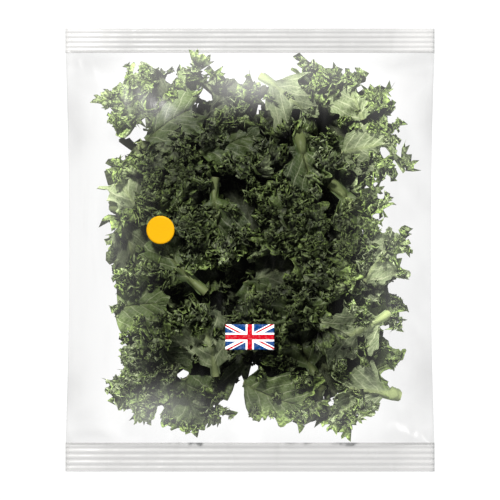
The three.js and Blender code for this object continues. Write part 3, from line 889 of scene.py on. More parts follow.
# points round a leaf and across it, curls on a square metre, how much wider than its solid it is cut
# and how far it may lie over its neighbours, in millimetres
detailFields = ("around", "across", "firstSeed", "curls", "spare", "lobes", "overhang")
leafDetail = {
    "front": (150, 15, 1, 96000, 1.12, 0.44, 3),
    "second": (120, 12, 41, 80000, 1.2, 0.46, 4),
    "middle": (90, 10, 71, 40000, 1.5, 0.08, 8),
    "back": (100, 10, 91, 36000, 1.5, 0.1, 8),
}
leafForm = {
    "thickness": 0.45 * mm,
    "waveLength": 9.5,  # of the frill, along the rim
    "sheetPerBand": 1.5,  # how much longer the frilled sheet is than the band it fills
    "swell": 4.4,
    "swellLengths": (38, 27, 17, 12),
    "flute": 3.6,  # of the wide folds that open towards the rim
    "crease": 2.4,  # and of the narrow ones between them
    "puff": 1.9,  # how far the blade stands out between its veins
    "toneChange": 0.5,
    "depth": 16.0,  # below the film, where the painted shade makes a leaf two thirds dark
    "heart": ((56, 96), (76, 120), 0.86),  # where the painted shade of the heap's middle begins and ends, and how dark it is
    "placeTone": 1.6,  # how much lighter leaves are where they catch the light
    # how far a whole leaf tilts along and across its rib, how far it is cupped and arched in millimetres,
    # and how far its rib bends aside as a share of its length
    "tiltAlong": 0.26,
    "tiltAcross": 0.3,
    "cup": (-2, 6),
    "arch": (-3, 6),
    "ribBend": 0.08,
    "rimTone": 0.6,  # painted light: how much lighter the outermost leaves are painted
    "tipFrom": 0.74,  # where along the rib the rays begin to fan round its tip
    "sideShare": 0.38,  # of the way round, which the rays of one side take
    "rayAngles": (92, 34, 58),  # at the cut end, less this up the side, and where the fan begins, in degrees
    # the deep lobes of the rim and the small notches in it, each as wave lengths along the rim
    "lobeLengths": (19, 27, 12),
    "notchLengths": (4.3, 6.1, 3.4),
    "notch": 0.09,
    "frillBand": 14,  # the widest
    "frillEnds": (37, 61),  # wave lengths of the sides with a frill and those with a cut
    "fluteLengths": (27, 19, 40),
    "creaseLengths": (9, 13, 7),
    "toneLengths": (14, 22, 31),
    "limeLengths": (25, 37),
    "pressSoftness": 1.0,  # how softly leaves give way to the film
    "pressGap": 0.8,
}


def headingOf(leaf):
    angle = math.radians(leaf["heading"])
    return np.array([math.cos(angle), math.sin(angle)])


def evenSpread(seed, index, size):
    return spread(seed, index, -size, size)


def tableRows(rows):
    return [dict(zip(leafFields, row)) for row in rows]


def scattered(columns, rows, firstSeed):
    leaves = []
    for row in range(rows):
        for column in range(columns):
            seed = firstSeed + len(leaves)
            stagger = 0.12 if row % 2 else -0.12
            leaves.append({
                "x": heap["x"] + ((column + 0.5 + stagger) / columns * 2 - 1) * heap["halfWidth"]
                + spread(seed, 1, -8, 8),
                "y": heap["y"] + ((row + 0.5) / rows * 2 - 1) * heap["halfLength"] + spread(seed, 2, -8, 8),
                "heading": spread(seed, 3, 0, 360),
                "long": spread(seed, 4, 90, 104),
                "wide": spread(seed, 5, 92, 106),
                "fan": spread(seed, 6, 0, 0.5),
                "face": "under" if draw(seed, 7) < 0.5 else "top",
                "stalk": 12 if draw(seed, 8) < 0.4 else 0,
                "rib": spread(seed, 9, 3, 7),
                "frill": 0.5,
            })
    return leaves


def fencesOf(leaf, leaves):
    # unit directions and limits of the straight fences halfway to a leaf's neighbours
    outs, limits = [], []
    for other in leaves:
        if other is leaf:
            continue
        away = np.array([other["x"] - leaf["x"], other["y"] - leaf["y"]], float)
        distance = np.linalg.norm(away)
        away /= distance
        outs.append(away)
        limits.append(leaf["x"] * away[0] + leaf["y"] * away[1] + distance / 2 - leafGap / 2)
    return np.array(outs), np.array(limits)


def roomInHeap(points, directions):
    # how far points can move in their directions before they leave the heap's outline
    start = np.array(heapOutline, float)
    edge = np.roll(start, -1, 0) - start
    toStart = start - points[:, None]
    slant = directions[:, None, 0] * edge[:, 1] - directions[:, None, 1] * edge[:, 0]
    slant = np.where(np.abs(slant) < 1e-9, 1e-9, slant)
    away = (toStart[..., 0] * edge[:, 1] - toStart[..., 1] * edge[:, 0]) / slant
    share = (toStart[..., 0] * directions[:, None, 1] - toStart[..., 1] * directions[:, None, 0]) / slant
    met = (away >= 0) & (share >= 0) & (share < 1)
    return np.where(met.sum(1) % 2, np.where(met, away, np.inf).min(1), 0)


def roomFor(bounds, points, directions, overhang=0.0):
    # the same, with the neighbours' fences and the layer's own distance from the outline
    outs, limits, inset = bounds
    points, directions = np.broadcast_arrays(np.atleast_2d(points), np.atleast_2d(directions))
    approach = directions @ outs.T
    gap = limits - points @ outs.T
    room = np.where(approach > 1e-6, gap / np.maximum(approach, 1e-6), np.inf).min(-1) + overhang
    return np.maximum(np.minimum(room, roomInHeap(points, directions) - inset), 0)


def roomBeforeGaps(points, directions):
    # how far rays from the rib run before they meet a gap
    places = np.array(gaps, float)
    toGap = places[:, :2] - points[:, None]
    ahead = (toGap * directions[:, None]).sum(-1)
    aside = (toGap ** 2).sum(-1) - ahead ** 2
    depth = np.sqrt(np.maximum(places[:, 2] ** 2 - aside, 0))
    met = (ahead > 0) & (depth > 0)
    return np.maximum(np.where(met, ahead - depth, np.inf).min(1), 0)


def drawBack(x, y):
    # points near a gap move out of it
    for centreX, centreY, radius in gaps:
        offX, offY = x - centreX, y - centreY
        away = np.maximum(np.hypot(offX, offY), 1e-4)
        turned = np.arctan2(offY, offX)
        hole = radius * (0.86 + 0.2 * np.sin(3 * turned + centreX) + 0.14 * np.sin(5 * turned + centreY)
                         + 0.12 * np.sin(11 * turned + centreX + centreY))
        edge = radius * gapReach
        moved = np.where(away < edge, hole + (edge - hole) * away / edge, away)
        x, y = centreX + offX / away * moved, centreY + offY / away * moved
    return x, y


def outline(leaf, u):
    oval = np.sin(math.pi * (0.1 + 0.84 * u)) ** 0.55
    return oval * (1 + leaf["fan"] * (u - 0.55) * 1.3)


def leafSheet(leaf, seed, layer, bounds, detail):
    # the flat sheet of a leaf before its frill curls: rays from the rib to the rim, from one side of
    # the cut end round the tip to the other
    heading = headingOf(leaf)
    across = np.array([-heading[1], heading[0]])
    centre = np.array([leaf["x"], leaf["y"]], float)
    ahead = min(leaf["long"] / 2, roomFor(bounds, centre, heading)[0] - 0.6)
    behind = min(leaf["long"] / 2, roomFor(bounds, centre, -heading)[0] - 0.6)
    length = ahead + behind
    bend = evenSpread(seed, 10, leafForm["ribBend"]) * length

    count = detail["around"]
    tipFrom, sideShare = leafForm["tipFrom"], leafForm["sideShare"]
    base, turnedUp, fanFrom = (math.radians(value) for value in leafForm["rayAngles"])
    s = np.linspace(-1, 1, count)
    side = np.sign(s) * 1.0
    side[side == 0] = 1
    down = 1 - np.abs(s)  # 0 at the cut end, 1 at the tip
    onSide = np.clip(down / (2 * sideShare), 0, 1)
    u = tipFrom * onSide
    fanShare = np.clip((down - 2 * sideShare) / (1 - 2 * sideShare), 0, 1)
    leanSide = base - turnedUp * onSide
    lean = np.where(fanShare > 0, fanFrom * (1 - fanShare), leanSide)
    rays = np.cos(lean)[:, None] * heading + (np.sin(lean) * side)[:, None] * across

    def ribPoint(share):
        point = centre + np.outer(-behind + length * share, heading)
        sway = 0.5 * np.minimum(roomFor(bounds, point, across), roomFor(bounds, point, -across))
        return point + np.outer(np.clip(bend * 4 * share * (1 - share), -sway, sway), across)

    start = ribPoint(u)
    halfWide = 0.5 * detail["spare"] * leaf["wide"] * outline(leaf, u) / np.maximum(np.sin(leanSide), 0.6)
    tipLong = length * (1 - tipFrom)
    tipRadius = 1 / np.sqrt((np.sin(lean) / halfWide) ** 2 + (np.cos(lean) / tipLong) ** 2)
    natural = np.where(fanShare > 0, np.maximum(tipRadius, tipLong * 0.9), halfWide)
    rimLength = 0.6 * (leaf["wide"] + 2 * length)
    along = s * rimLength / 2
    lobes = 1 - detail["lobes"] * (0.5 + 0.5 * ripples(along, seed, leafForm["lobeLengths"]))
    lobes = lobes * (1 - leafForm["notch"] * ripples(along, seed + 50, leafForm["notchLengths"]))
    room = roomFor(bounds, start, rays, detail["overhang"] * (0.4 + 0.6 * draw(seed, 31)))
    stalkShare = leaf["stalk"] / length
    bladeShare = smoothStep(stalkShare - 0.02, stalkShare + 0.12, np.where(fanShare > 0, 1, u))
    reach = np.minimum(np.minimum(natural, room) * lobes, roomBeforeGaps(start, rays))
    ribHalf = leaf["rib"] * (1 - 0.7 * u) / 2
    reach = np.maximum(reach * bladeShare, ribHalf + 0.8)

    # a chopped piece has a frill on some sides and a straight cut on the others
    frilled = ripples(along, seed + 17, leafForm["frillEnds"]) + 1.8 * (leaf["frill"] - 0.5)
    band = np.minimum(reach * leaf["frill"], leafForm["frillBand"]) * bladeShare
    band = np.maximum(band * smoothStep(-0.4, 0.2, frilled) * smoothStep(0, 0.06, down), 0.01)
    sheet = band * leafForm["sheetPerBand"] * (1 + 0.25 * ripples(along, seed + 7, (9, 14, 31)))

    blade = reach - band
    rows = detail["across"]
    bladeRows = max(4, int(rows * 0.45))
    share = np.concatenate([np.linspace(0, 1, bladeRows, endpoint=False) ** 1.15,
                            1 + np.linspace(0, 1, rows - bladeRows)])
    inBlade = np.minimum(share, 1)[None]
    inFrill = np.maximum(share - 1, 0)[None]
    flat = blade[:, None] * inBlade + sheet[:, None] * inFrill  # distance along the unrolled sheet
    seen = blade[:, None] * inBlade + band[:, None] * inFrill  # distance as the curled sheet lies
    points = start[:, None] + rays[:, None] * flat[..., None]
    places = start[:, None] + rays[:, None] * seen[..., None]

    # the wide shape of the leaf
    alongRib = (places - centre) @ heading
    acrossRib = (places - centre) @ across
    tiltAlong = evenSpread(seed, 11, leafForm["tiltAlong"])
    tiltAcross = evenSpread(seed, 12, leafForm["tiltAcross"])
    cup = spread(seed, 13, *leafForm["cup"])
    arch = spread(seed, 14, *leafForm["arch"])
    uPlace = np.clip((alongRib + behind) / length, 0, 1)
    outShare = np.clip(np.abs(acrossRib) / (leaf["wide"] / 2), 0, 1)
    lift = tiltAlong * alongRib + tiltAcross * acrossRib
    lift = lift + cup * outShare ** 2 + arch * np.sin(math.pi * uPlace)
    lift = lift + leafForm["swell"] * swells(alongRib, acrossRib, seed, leafForm["swellLengths"])
    outward = np.minimum(seen / 20, 1.2)
    lift = lift + leafForm["flute"] * ripples(along, seed + 3, leafForm["fluteLengths"])[:, None] * outward
    narrow = ripples(along[:, None] + 0.6 * seen, seed + 4, leafForm["creaseLengths"])
    lift = lift + leafForm["crease"] * narrow * outward ** 1.5
    low = roomBottom(places[..., 0], places[..., 1])
    high = roomTop(places[..., 0], places[..., 1])
    slotLow = low + (high - low) * layer[0]
    slotHigh = low + (high - low) * layer[1]
    half = np.maximum((slotHigh - slotLow) / 2, 0.01)
    z = (slotLow + slotHigh) / 2 + half * np.tanh(lift / half)

    # side veins run towards the tip as they leave the rib, and the blade swells between them
    veinWay = np.abs(along)[:, None] + veins["skew"] * seen + 3.5 * (s > 0)[:, None]
    branchWay = np.abs(along)[:, None] - 1.3 * seen
    place = veinWay / veins["pitch"]
    veinGap = np.abs(place - np.round(place)) * veins["pitch"]
    onBlade = (1 - inFrill) * bladeShare[:, None]
    ribWide = (leaf["rib"] * (1 - 0.8 * u) / 2 * 0.55 + 0.25)[:, None]
    rib = np.exp(-(flat / ribWide) ** 4)
    ribUp = 1 if leaf["face"] == "under" else -0.5
    stalkUp = ribUp * bladeShare[:, None] + 1 - bladeShare[:, None]  # a bare stalk is round on both faces
    swollen = 1 - np.exp(-(veinGap / 2.2) ** 2)
    puff = leafForm["puff"] * swollen * np.sin(math.pi * np.clip(inBlade, 0, 1)) * onBlade
    z = z + stalkUp * (0.5 * leaf["rib"] * rib * (1 - 0.6 * u[:, None])) - ribUp * puff

    waveCount = rimLength / leafForm["waveLength"] * spread(seed, 15, 0.85, 1.15)
    phase = waveCount * (s / 2) + 0.33 * ripples(along, seed + 11, (13, 21, 34)) * 2
    grid = (count, rows)
    wide = np.ones(grid)
    ribColor = rib * np.clip((leaf["rib"] - 2) / 4, 0.25, 0.9)
    points = np.concatenate([points, z[..., None]], -1)
    return {
        "points": points * mm,
        "edgeShare": inFrill * smoothStep(0.5, 4, band)[:, None] * wide,
        "frillLength": sheet[:, None] * mm * wide,
        "rimPhase": phase[:, None] * wide,
        "outward": np.concatenate([rays[:, None] * wide[..., None], np.zeros(grid + (1,))], -1),
        "veinWay": veinWay * wide,
        "branchWay": branchWay * wide,
        "bladeShare": onBlade * wide,
        "ribShare": ribColor * wide,
        "cutShare": (down < 0.004)[:, None] * rib,
        "stalkPath": points[(s < 0) & (u * length < leaf["stalk"] + stalk["beyond"]), 0],
        "uv": np.stack([along[:, None] * (0.35 + 0.65 * seen / max(reach.max(), 1)), flat], -1),
    }


def pressUnderFilm(points):
    # the leaves give way where they meet the film
    x, y, z = (points / mm).T
    x, y = inPouch(x, y)
    ceiling, ground = filmTop(x, y) - leafForm["pressGap"], filmBack(x, y) + leafForm["pressGap"]
    softness = leafForm["pressSoftness"]
    z = ceiling - softness * np.logaddexp(0, (ceiling - z) / softness)
    z = ground + softness * np.logaddexp(0, (z - ground) / softness)
    pressed = points.copy()
    pressed[:, 2] = np.minimum(z, ceiling) * mm
    return pressed


def addCurls(piece, leaf, seed, layerName, density, upper, lower):
    below = layerName == "back"  # the back leaves are seen from under the pouch
    count = len(piece.data.vertices)
    edge = np.empty(count, np.float32)
    piece.data.attributes["edgeShare"].data.foreach_get("value", edge)
    normals = np.empty(count * 3, np.float32)
    piece.data.vertices.foreach_get("normal", normals)
    normalUp = normals[2::3] * (-1 if below else 1)
    facing = np.where(normalUp > 0, 1.0, curl["offFace"])
    x, y = (meshPoints(piece) / mm).T[:2]
    patchy = 0.12 + 0.88 * smoothStep(-0.15, 0.3, swells(x, y, seed + 200, curl["patchLengths"]))
    dense = smoothStep(0.62, 0.75, leaf["frill"])
    tufted = curl["tufts"] * smoothStep(0.1, 0.5, swells(x, y, seed + 230, curl["tuftLengths"]))
    share = np.maximum(smoothStep(0.05, 0.4, edge), np.maximum(dense * 0.75, tufted)) * patchy
    for centreX, centreY, radius in gaps:
        away = np.hypot(x - centreX, y - centreY)
        share = share * smoothStep(radius, radius + curl["gapClearing"], away)
    for (startX, startY), (endX, endY), radius in stalkLines:
        alongX, alongY = endX - startX, endY - startY
        part = ((x - startX) * alongX + (y - startY) * alongY) / (alongX ** 2 + alongY ** 2)
        part = np.clip(part, 0, 1)
        away = np.hypot(x - startX - part * alongX, y - startY - part * alongY)
        share = share * smoothStep(radius, radius + stalk["clearing"], away)
    addAttribute(piece, "curlShare", "FLOAT", share * facing)
    # painted shade on the blade under the curls
    addAttribute(piece, "footShare", "FLOAT", curl["bladeShade"] * share)
    useTree(piece, curlTree, {
        "Curls": curlKinds,
        "Density": float(density),
        "Size": 1.0,
        "Tilt": curl["tilt"],
        "Turn Over": math.pi if below else 0.0,
        "Tone Change": curl["toneChange"],
        "Seed": seed,
        "Upper Material": upper,
        "Lower Material": lower,
    })


def makeStalk(name, leaf, path, node, material):
    radius = leaf["rib"] / 2
    way = np.linalg.norm(path[:, :2] - path[0, :2], axis=1)
    way = way / way.max()
    path = path - [0, 0, stalk["sunk"] * radius]
    back = (path[0] - path[1]) / np.linalg.norm(path[0] - path[1])
    path = np.concatenate([[path[0] + back * 1.0, path[0] + back * 0.8], path])
    way = np.concatenate([[0, 0], way])
    piece = meshObject(name, path * mm, [])
    steps = np.arange(len(path) - 1)
    piece.data.edges.add(len(steps))
    piece.data.edges.foreach_set("vertices", np.stack([steps, steps + 1], -1).ravel())
    cut = np.zeros(len(path))
    cut[0] = 1
    ribShare = stalk["ribShare"][0] - stalk["ribShare"][1] * way
    for key, values in (("stalkWay", way), ("ribShare", ribShare), ("cutShare", cut),
                        ("leafTone", np.full(len(path), stalk["tone"]))):
        addAttribute(piece, key, "FLOAT", values)
    useTree(piece, stalkTree, {
        "Radius": radius * mm,
        "Tip Share": stalk["tip"],
        "Around": stalk["around"],
        "Material": material,
    })
    finishLeafPart(piece, node, material)
    return piece


def inHeart(x, y):
    # 1 in the middle of the heap and 0 at its rim, for the painted shade of the middle
    across, along = leafForm["heart"][:2]
    return (1 - smoothStep(*across, np.abs(x + 5))) * (1 - smoothStep(*along, np.abs(y + 1)))


def lightAt(x, y):
    total = 0
    for centreX, centreY, halfWidth, halfLength, amount in lightPlaces:
        total = total + amount * np.exp(-((x - centreX) / halfWidth) ** 2 - ((y - centreY) / halfLength) ** 2)
    return total


def finishLeafPart(piece, node, material):
    points = meshPoints(piece)
    points[:, :2] = np.stack(drawBack(*points[:, :2].T / mm), -1) * mm
    points = pressUnderFilm(points)
    setPoints(piece, points)
    x, y, z = (points / mm).T
    # painted shade and light: leaves are painted darker with depth below the film and in the heap's middle, and
    # lighter or darker at the light places
    depth = np.maximum(filmTop(*inPouch(x, y)) - z, 0) / leafForm["depth"]
    lit = np.exp(-depth ** 1.5)
    lit = lit * (1 - leafForm["heart"][2] * inHeart(x, y) * (0.3 + 0.7 * lit)) * np.exp(lightAt(x, y))
    addAttribute(piece, "depthShare", "FLOAT", 1 - lit)
    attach(piece, "root")
    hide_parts(node)


def makeLeaf(name, leaf, seed, layerName, fences):
    detail = dict(zip(detailFields, leafDetail[layerName]))
    low, high, inset = layerPlaces[layerName]
    sheet = leafSheet(leaf, seed, (low, high), fences + (inset,), detail)
    rows, columns = sheet["points"].shape[:2]
    faces = gridFaces(rows, columns)
    piece = meshObject(name, sheet["points"].reshape(-1, 3), faces, sheet["uv"].reshape(-1, 2))
    for key in ("edgeShare", "frillLength", "rimPhase", "veinWay", "branchWay", "bladeShare", "ribShare",
                "cutShare"):
        addAttribute(piece, key, "FLOAT", np.broadcast_to(sheet[key], (rows, columns)))
    addAttribute(piece, "outward", "FLOAT_VECTOR", sheet["outward"])
    x, y = sheet["points"][..., 0] / mm, sheet["points"][..., 1] / mm
    tone = 0.15 + 0.7 * draw(seed, 40)
    tone = tone + leafForm["toneChange"] * swells(x, y, seed + 90, leafForm["toneLengths"])
    # painted light on the outermost leaves and at the light places; the rest of the tone differs at random
    tone = tone + leafForm["rimTone"] * (1 - inHeart(x, y)) ** 2
    tone = tone + leafForm["placeTone"] * np.maximum(lightAt(x, y), 0)
    addAttribute(piece, "leafTone", "FLOAT", tone)
    lime = 0.9 * draw(seed, 41) + 0.6 * swells(x, y, seed + 95, leafForm["limeLengths"])
    addAttribute(piece, "limeShare", "FLOAT", smoothStep(0.1, 0.8, lime))
    upper, lower = (topMaterial, underMaterial) if leaf["face"] == "top" else (underMaterial, topMaterial)
    useTree(piece, frillTree, {
        "Curl": spread(seed, 32, *frill["curl"]),
        "Curl Change": spread(seed, 33, *frill["curlChange"]),
        "Swell Height": frill["swell"] * mm,
        "Wave Height": frill["wave"] * mm,
        "Ripple Height": frill["ripple"] * mm,
        "Fold Width": frill["fold"] * mm,
        "Crumple": frill["crumple"] * mm,
        "Crumple Size": frill["crumpleSize"] * mm,
        "Seed": seed,
        "Material": upper,
    })
    setPoints(piece, pressUnderFilm(meshPoints(piece)))
    if np.mean([face.normal.z for face in piece.data.polygons]) < 0:
        piece.data.flip_normals()
    piece.data.materials.clear()
    for material in (upper, lower, upper):
        piece.data.materials.append(material)
    thicken(piece, leafForm["thickness"], material_offset=1)
    addCurls(piece, leaf, seed, layerName, detail["curls"], upper, lower)
    node = f"kale_leaf_{layerName}_{name[-2:]}"
    finishLeafPart(piece, node, upper)
    if leaf["stalk"] and len(sheet["stalkPath"]) > 3:
        stalkPiece = makeStalk(name.replace("Leaf", "Stalk"), leaf, sheet["stalkPath"], node, upper)
        turnFacesOut(stalkPiece)
        stalkPiece.data.shade_smooth()


def stalkLine(leaf):
    heading = headingOf(leaf)
    start = np.array([leaf["x"], leaf["y"]]) - leaf["long"] / 2 * heading
    reach = leaf["stalk"] + stalk["beyond"] * 0.5
    return start, start + reach * heading, leaf["rib"] / 2


def makeLeaves():
    layers = {
        "front": tableRows(frontLeaves),
        "second": tableRows(secondLeaves),
        "middle": scattered(3, 3, 71),
        "back": scattered(2, 4, 91),
    }
    for layerName, leaves in layers.items():
        firstSeed = leafDetail[layerName][detailFields.index("firstSeed")]
        for index, leaf in enumerate(leaves):
            name = f"kaleLeaf{layerName.capitalize()}{index + 1:02d}"
            makeLeaf(name, leaf, firstSeed + index, layerName, fencesOf(leaf, leaves))
        print("leaves made:", layerName, len(leaves))


stalkLines = [stalkLine(leaf) for leaf in tableRows(frontLeaves) if leaf["stalk"]]
makeLeaves()
for piece in list(curlKinds.objects):
    bpy.data.objects.remove(piece)
bpy.data.collections.remove(curlKinds)

film = {
    "around": 280,
    "along": 110,
    "clear": 0.0015,  # how much of the film shows in the middle, and at its edges
    "hazy": 0.17,
    "sideReach": (50, 118),  # from here to there it turns milky towards the sides, partly with painted sheen of the lights, in millimetres
    "endReach": (78, 131),  # and towards the ends
    "drift": 12.0,  # how unevenly it does so
    "streaks": 0.1,
    # how fine each pattern is
    "cloudScale": 22.0,
    "streakScale": 90.0,
    "glossScale": 60.0,
    "reliefScale": 260.0,
    "gloss": (0.16, 0.3),  # its least and greatest roughness
    "shine": 0.22,
    "relief": 0.0003,
    "backShare": 0.3,  # how much of that the back sheet has
    # where the film lies milky, partly with painted sheen of the lights on its slopes: place, half width, half
    # length in millimetres, and strength
    "milkySheenSpots": ((-72, -110, 34, 20, 1.2), (2, 112, 34, 15, 1.2), (-96, 15, 17, 80, 1.1),
              (100, -50, 17, 70, 1.0), (-86, 100, 30, 24, 1.0)),
    "endHaze": (0.54, 0.66),  # at the bottom and the top, next to 1 at the side folds
    "sealHaze": (0.8, 0.6),
    "middleTone": rgb(0.22, 0.223, 0.221),
    "edgeTone": rgb(0.210, 0.213, 0.211),
    # painted light: near the ends the film is painted lighter
    "endTone": rgb(0.700, 0.705, 0.700),
    "foldShadeTone": rgb(0.15, 0.15, 0.15),
    # painted shade of soft folds near the corners, mirrored to each side and end: place, half width, half
    # length, strength
    "folds": ((121, 88, 9, 24, 0.9), (108, 128, 24, 6, 0.6), (116, 112, 14, 9, 0.4)),
    "vent": (70, 98, 2.5),  # place to each side and radius of the air holes in the back sheet
}
seal = {
    "ribs": 5,
    "ribHeight": 0.24,
    "thickness": 0.5 * mm,
    "clear": 0.5,  # how much of the welded film shows, at the least and at the most
    "hazy": 0.72,
    "tone": rgb(0.385, 0.385, 0.385),
    "columns": 84,
    "rows": 41,
    "overlap": 1.5,
    "warp": 1.6,  # how unevenly it lies, in millimetres
    "warpScale": 45.0,
}


def outsideVents(tree, axes):
    # 0 in the air holes of the back sheet and 1 everywhere else
    times = sums(tree)[1]
    x, y, radius = (value * mm for value in film["vent"])
    offX = calc(tree, "SUBTRACT", calc(tree, "ABSOLUTE", axes["X"]), x)
    offY = calc(tree, "SUBTRACT", axes["Y"], y)
    away = calc(tree, "SQRT", calc(tree, "MULTIPLY_ADD", offX, offX, times(offY, offY)))
    front = calc(tree, "GREATER_THAN", axes["Z"], pouch["seamHeight"] * mm)
    return calc(tree, "MAXIMUM", calc(tree, "GREATER_THAN", away, radius), front)


def filmMaterial(name, clear, hazy, backShare, tone, vented=False):
    # clear over the middle, milky towards the side folds and the seals: partly the film's own haze and partly
    # painted reflection of the lights on its slopes
    material, tree, shader = newMaterial(name)
    plus, times = sums(tree)
    place = put(tree, "ShaderNodeTexCoord").outputs["Object"]
    axes = put(tree, "ShaderNodeSeparateXYZ", {"Vector": place}).outputs

    def cloudy(stretch, scale):
        return noise(tree, vectorCalc(tree, "MULTIPLY", place, stretch), scale, 3.0)

    def most(first, second):
        return calc(tree, "MAXIMUM", first, second)

    def hump(acrossPlace, alongPlace, x, y, wide, long, strength):
        # a soft round patch, 1 at its middle times its strength
        offX = calc(tree, "DIVIDE", calc(tree, "SUBTRACT", acrossPlace, x * mm), wide * mm)
        offY = calc(tree, "DIVIDE", calc(tree, "SUBTRACT", alongPlace, y * mm), long * mm)
        away = plus(times(offX, offX), times(offY, offY))
        return times(calc(tree, "POWER", math.e, times(away, -1.0)), strength)

    drift = times(calc(tree, "SUBTRACT", cloudy((1, 1, 1), film["cloudScale"]), 0.5), film["drift"] * mm)
    fromSide, fromEnd = (plus(calc(tree, "ABSOLUTE", axes[key]), drift) for key in "XY")
    cloudX, cloudY = (calc(tree, "MULTIPLY_ADD", drift, 1.5, way) for way in (fromSide, fromEnd))
    side, end = (mapRange(tree, way, film[key][0] * mm, film[key][1] * mm)
                 for way, key in ((fromSide, "sideReach"), (fromEnd, "endReach")))
    low, high = film["endHaze"] if vented else film["sealHaze"]
    # milky haze, partly painted sheen of the lights on the film's slopes
    hazeAndSheen = most(side, times(end, mapRange(tree, axes["Y"], -0.05, 0.05, low, high)))
    for spot in film["milkySheenSpots"]:
        hazeAndSheen = most(hazeAndSheen, plus(hump(axes["X"], axes["Y"], *spot), times(drift, 3.0)))
    hazeAndSheen = most(hazeAndSheen, 0.0)
    streak = mapRange(tree, cloudy((1, 0.16, 1), film["streakScale"]), 0.55, 0.75)
    share = calc(tree, "MULTIPLY_ADD", times(streak, hazeAndSheen), film["streaks"], hazeAndSheen)
    share = times(share, mapRange(tree, axes["Z"], 0.0195, 0.0215, backShare, 1.0))
    alpha = calc(tree, "MULTIPLY_ADD", share, hazy - clear, clear)
    # painted shade along the streaks and, on the pouch, of the folds near the corners
    shadow = times(streak, 0.12)
    if vented:
        for fold in film["folds"]:
            shadow = most(shadow, hump(cloudX, cloudY, *fold))
        alpha = calc(tree, "MULTIPLY_ADD", shadow, 0.1, alpha)
        alpha = times(alpha, outsideVents(tree, axes))
    feed(tree, shader.inputs["Alpha"], calc(tree, "MINIMUM", alpha, 1.0))
    color = mixColor(tree, hazeAndSheen, film["middleTone"], tone)
    if vented:
        # painted light near the ends, away from the side folds
        paintedEndLight = times(mapRange(tree, fromEnd, 0.070, 0.112), calc(tree, "SUBTRACT", 1.0, side))
        color = mixColor(tree, paintedEndLight, color, film["endTone"])
    feed(tree, shader.inputs["Base Color"], mixColor(tree, shadow, color, film["foldShadeTone"]))
    dull = mapRange(tree, cloudy((1, 1, 1), film["glossScale"]), 0.3, 0.7, *film["gloss"])
    feed(tree, shader.inputs["Roughness"], dull)
    addBump(tree, shader, cloudy((1, 0.3, 1), film["reliefScale"]), film["relief"], 0.35)
    shader.inputs["Specular IOR Level"].default_value = film["shine"]
    return material


def buildSealTree():
    # a flat band with pressed ribs that run across the pouch
    tree = bpy.data.node_groups.new("crimpedSeal", "GeometryNodeTree")
    addSockets(tree, [
        ("Width", "NodeSocketFloat", 0.25),
        ("Length", "NodeSocketFloat", 0.015),
        ("Ribs", "NodeSocketInt", 5),
        ("Rib Height", "NodeSocketFloat", 0.0005),
        ("Columns", "NodeSocketInt", 84),
        ("Rows", "NodeSocketInt", 41),
        ("Middle", "NodeSocketVector", (0.0, 0.0, 0.0)),
        ("Warp", "NodeSocketFloat", 0.001),
        ("Seed", "NodeSocketInt", 0),
        ("Material", "NodeSocketMaterial", None),
    ], [("Geometry", "NodeSocketGeometry")])
    given = put(tree, "NodeGroupInput").outputs
    plus, times = sums(tree)
    band = put(tree, "GeometryNodeMeshGrid", {
        "Size X": given["Width"], "Size Y": given["Length"],
        "Vertices X": given["Columns"], "Vertices Y": given["Rows"]})
    place = put(tree, "GeometryNodeInputPosition").outputs[0]
    axes = put(tree, "ShaderNodeSeparateXYZ", {"Vector": place}).outputs
    share = calc(tree, "DIVIDE", axes["Y"], given["Length"])
    wave = calc(tree, "COSINE", times(share, given["Ribs"], turn))
    inside = mapRange(tree, calc(tree, "ABSOLUTE", share), 0.36, 0.46, 1.0, 0.0)
    uneven = put(tree, "ShaderNodeTexNoise", {
        "Vector": place, "W": given["Seed"], "Scale": seal["warpScale"], "Detail": 2.0},
        noise_dimensions="4D")
    warp = times(calc(tree, "SUBTRACT", uneven.outputs["Fac"], 0.5), given["Warp"])
    rib = plus(times(wave, inside, given["Rib Height"]), warp)
    up = put(tree, "ShaderNodeCombineXYZ", {"X": 0.0, "Y": 0.0, "Z": rib}).outputs[0]
    moved = put(tree, "GeometryNodeSetPosition", {
        "Geometry": band.outputs["Mesh"], "Offset": vectorCalc(tree, "ADD", up, given["Middle"])})
    endTree(tree, moved.outputs[0], given["Material"])
    return tree


def finishFilm(piece):
    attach(piece, "root")
    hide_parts("film_pouch")


def makePouch(material):
    angle = turn * np.arange(film["around"]) / film["around"]
    share = np.linspace(0, math.pi, film["along"])
    y = middleY - halfOpen * np.cos(share)
    angle, y = np.meshgrid(angle, y, indexing="xy")
    x = np.cos(angle) * halfWidthAt(y)
    z = np.where(np.sin(angle) >= 0, filmTop(x, y), filmBack(x, y))
    folded = np.abs(np.sin(angle)) < 1e-6
    z = np.where(folded, pouch["seamHeight"], z)
    points = np.stack([x, y, z], -1).reshape(-1, 3)
    faces = gridFaces(film["along"], film["around"], closed=True).tolist()
    around = film["around"]
    for row, flip in ((0, False), (film["along"] - 1, True)):  # the two ends, closed between the sheets
        for step in range(around // 2):
            front = row * around + step
            back = row * around + (around - step) % around
            corners = [front, front + 1, row * around + (around - step - 1), back]
            corners = list(dict.fromkeys(corners))
            if len(corners) > 2:
                faces.append(corners[::-1] if flip else corners)
    piece = meshObject("filmPouch", points * mm, faces)
    turnFacesOut(piece)
    piece.data.materials.append(material)
    finishFilm(piece)


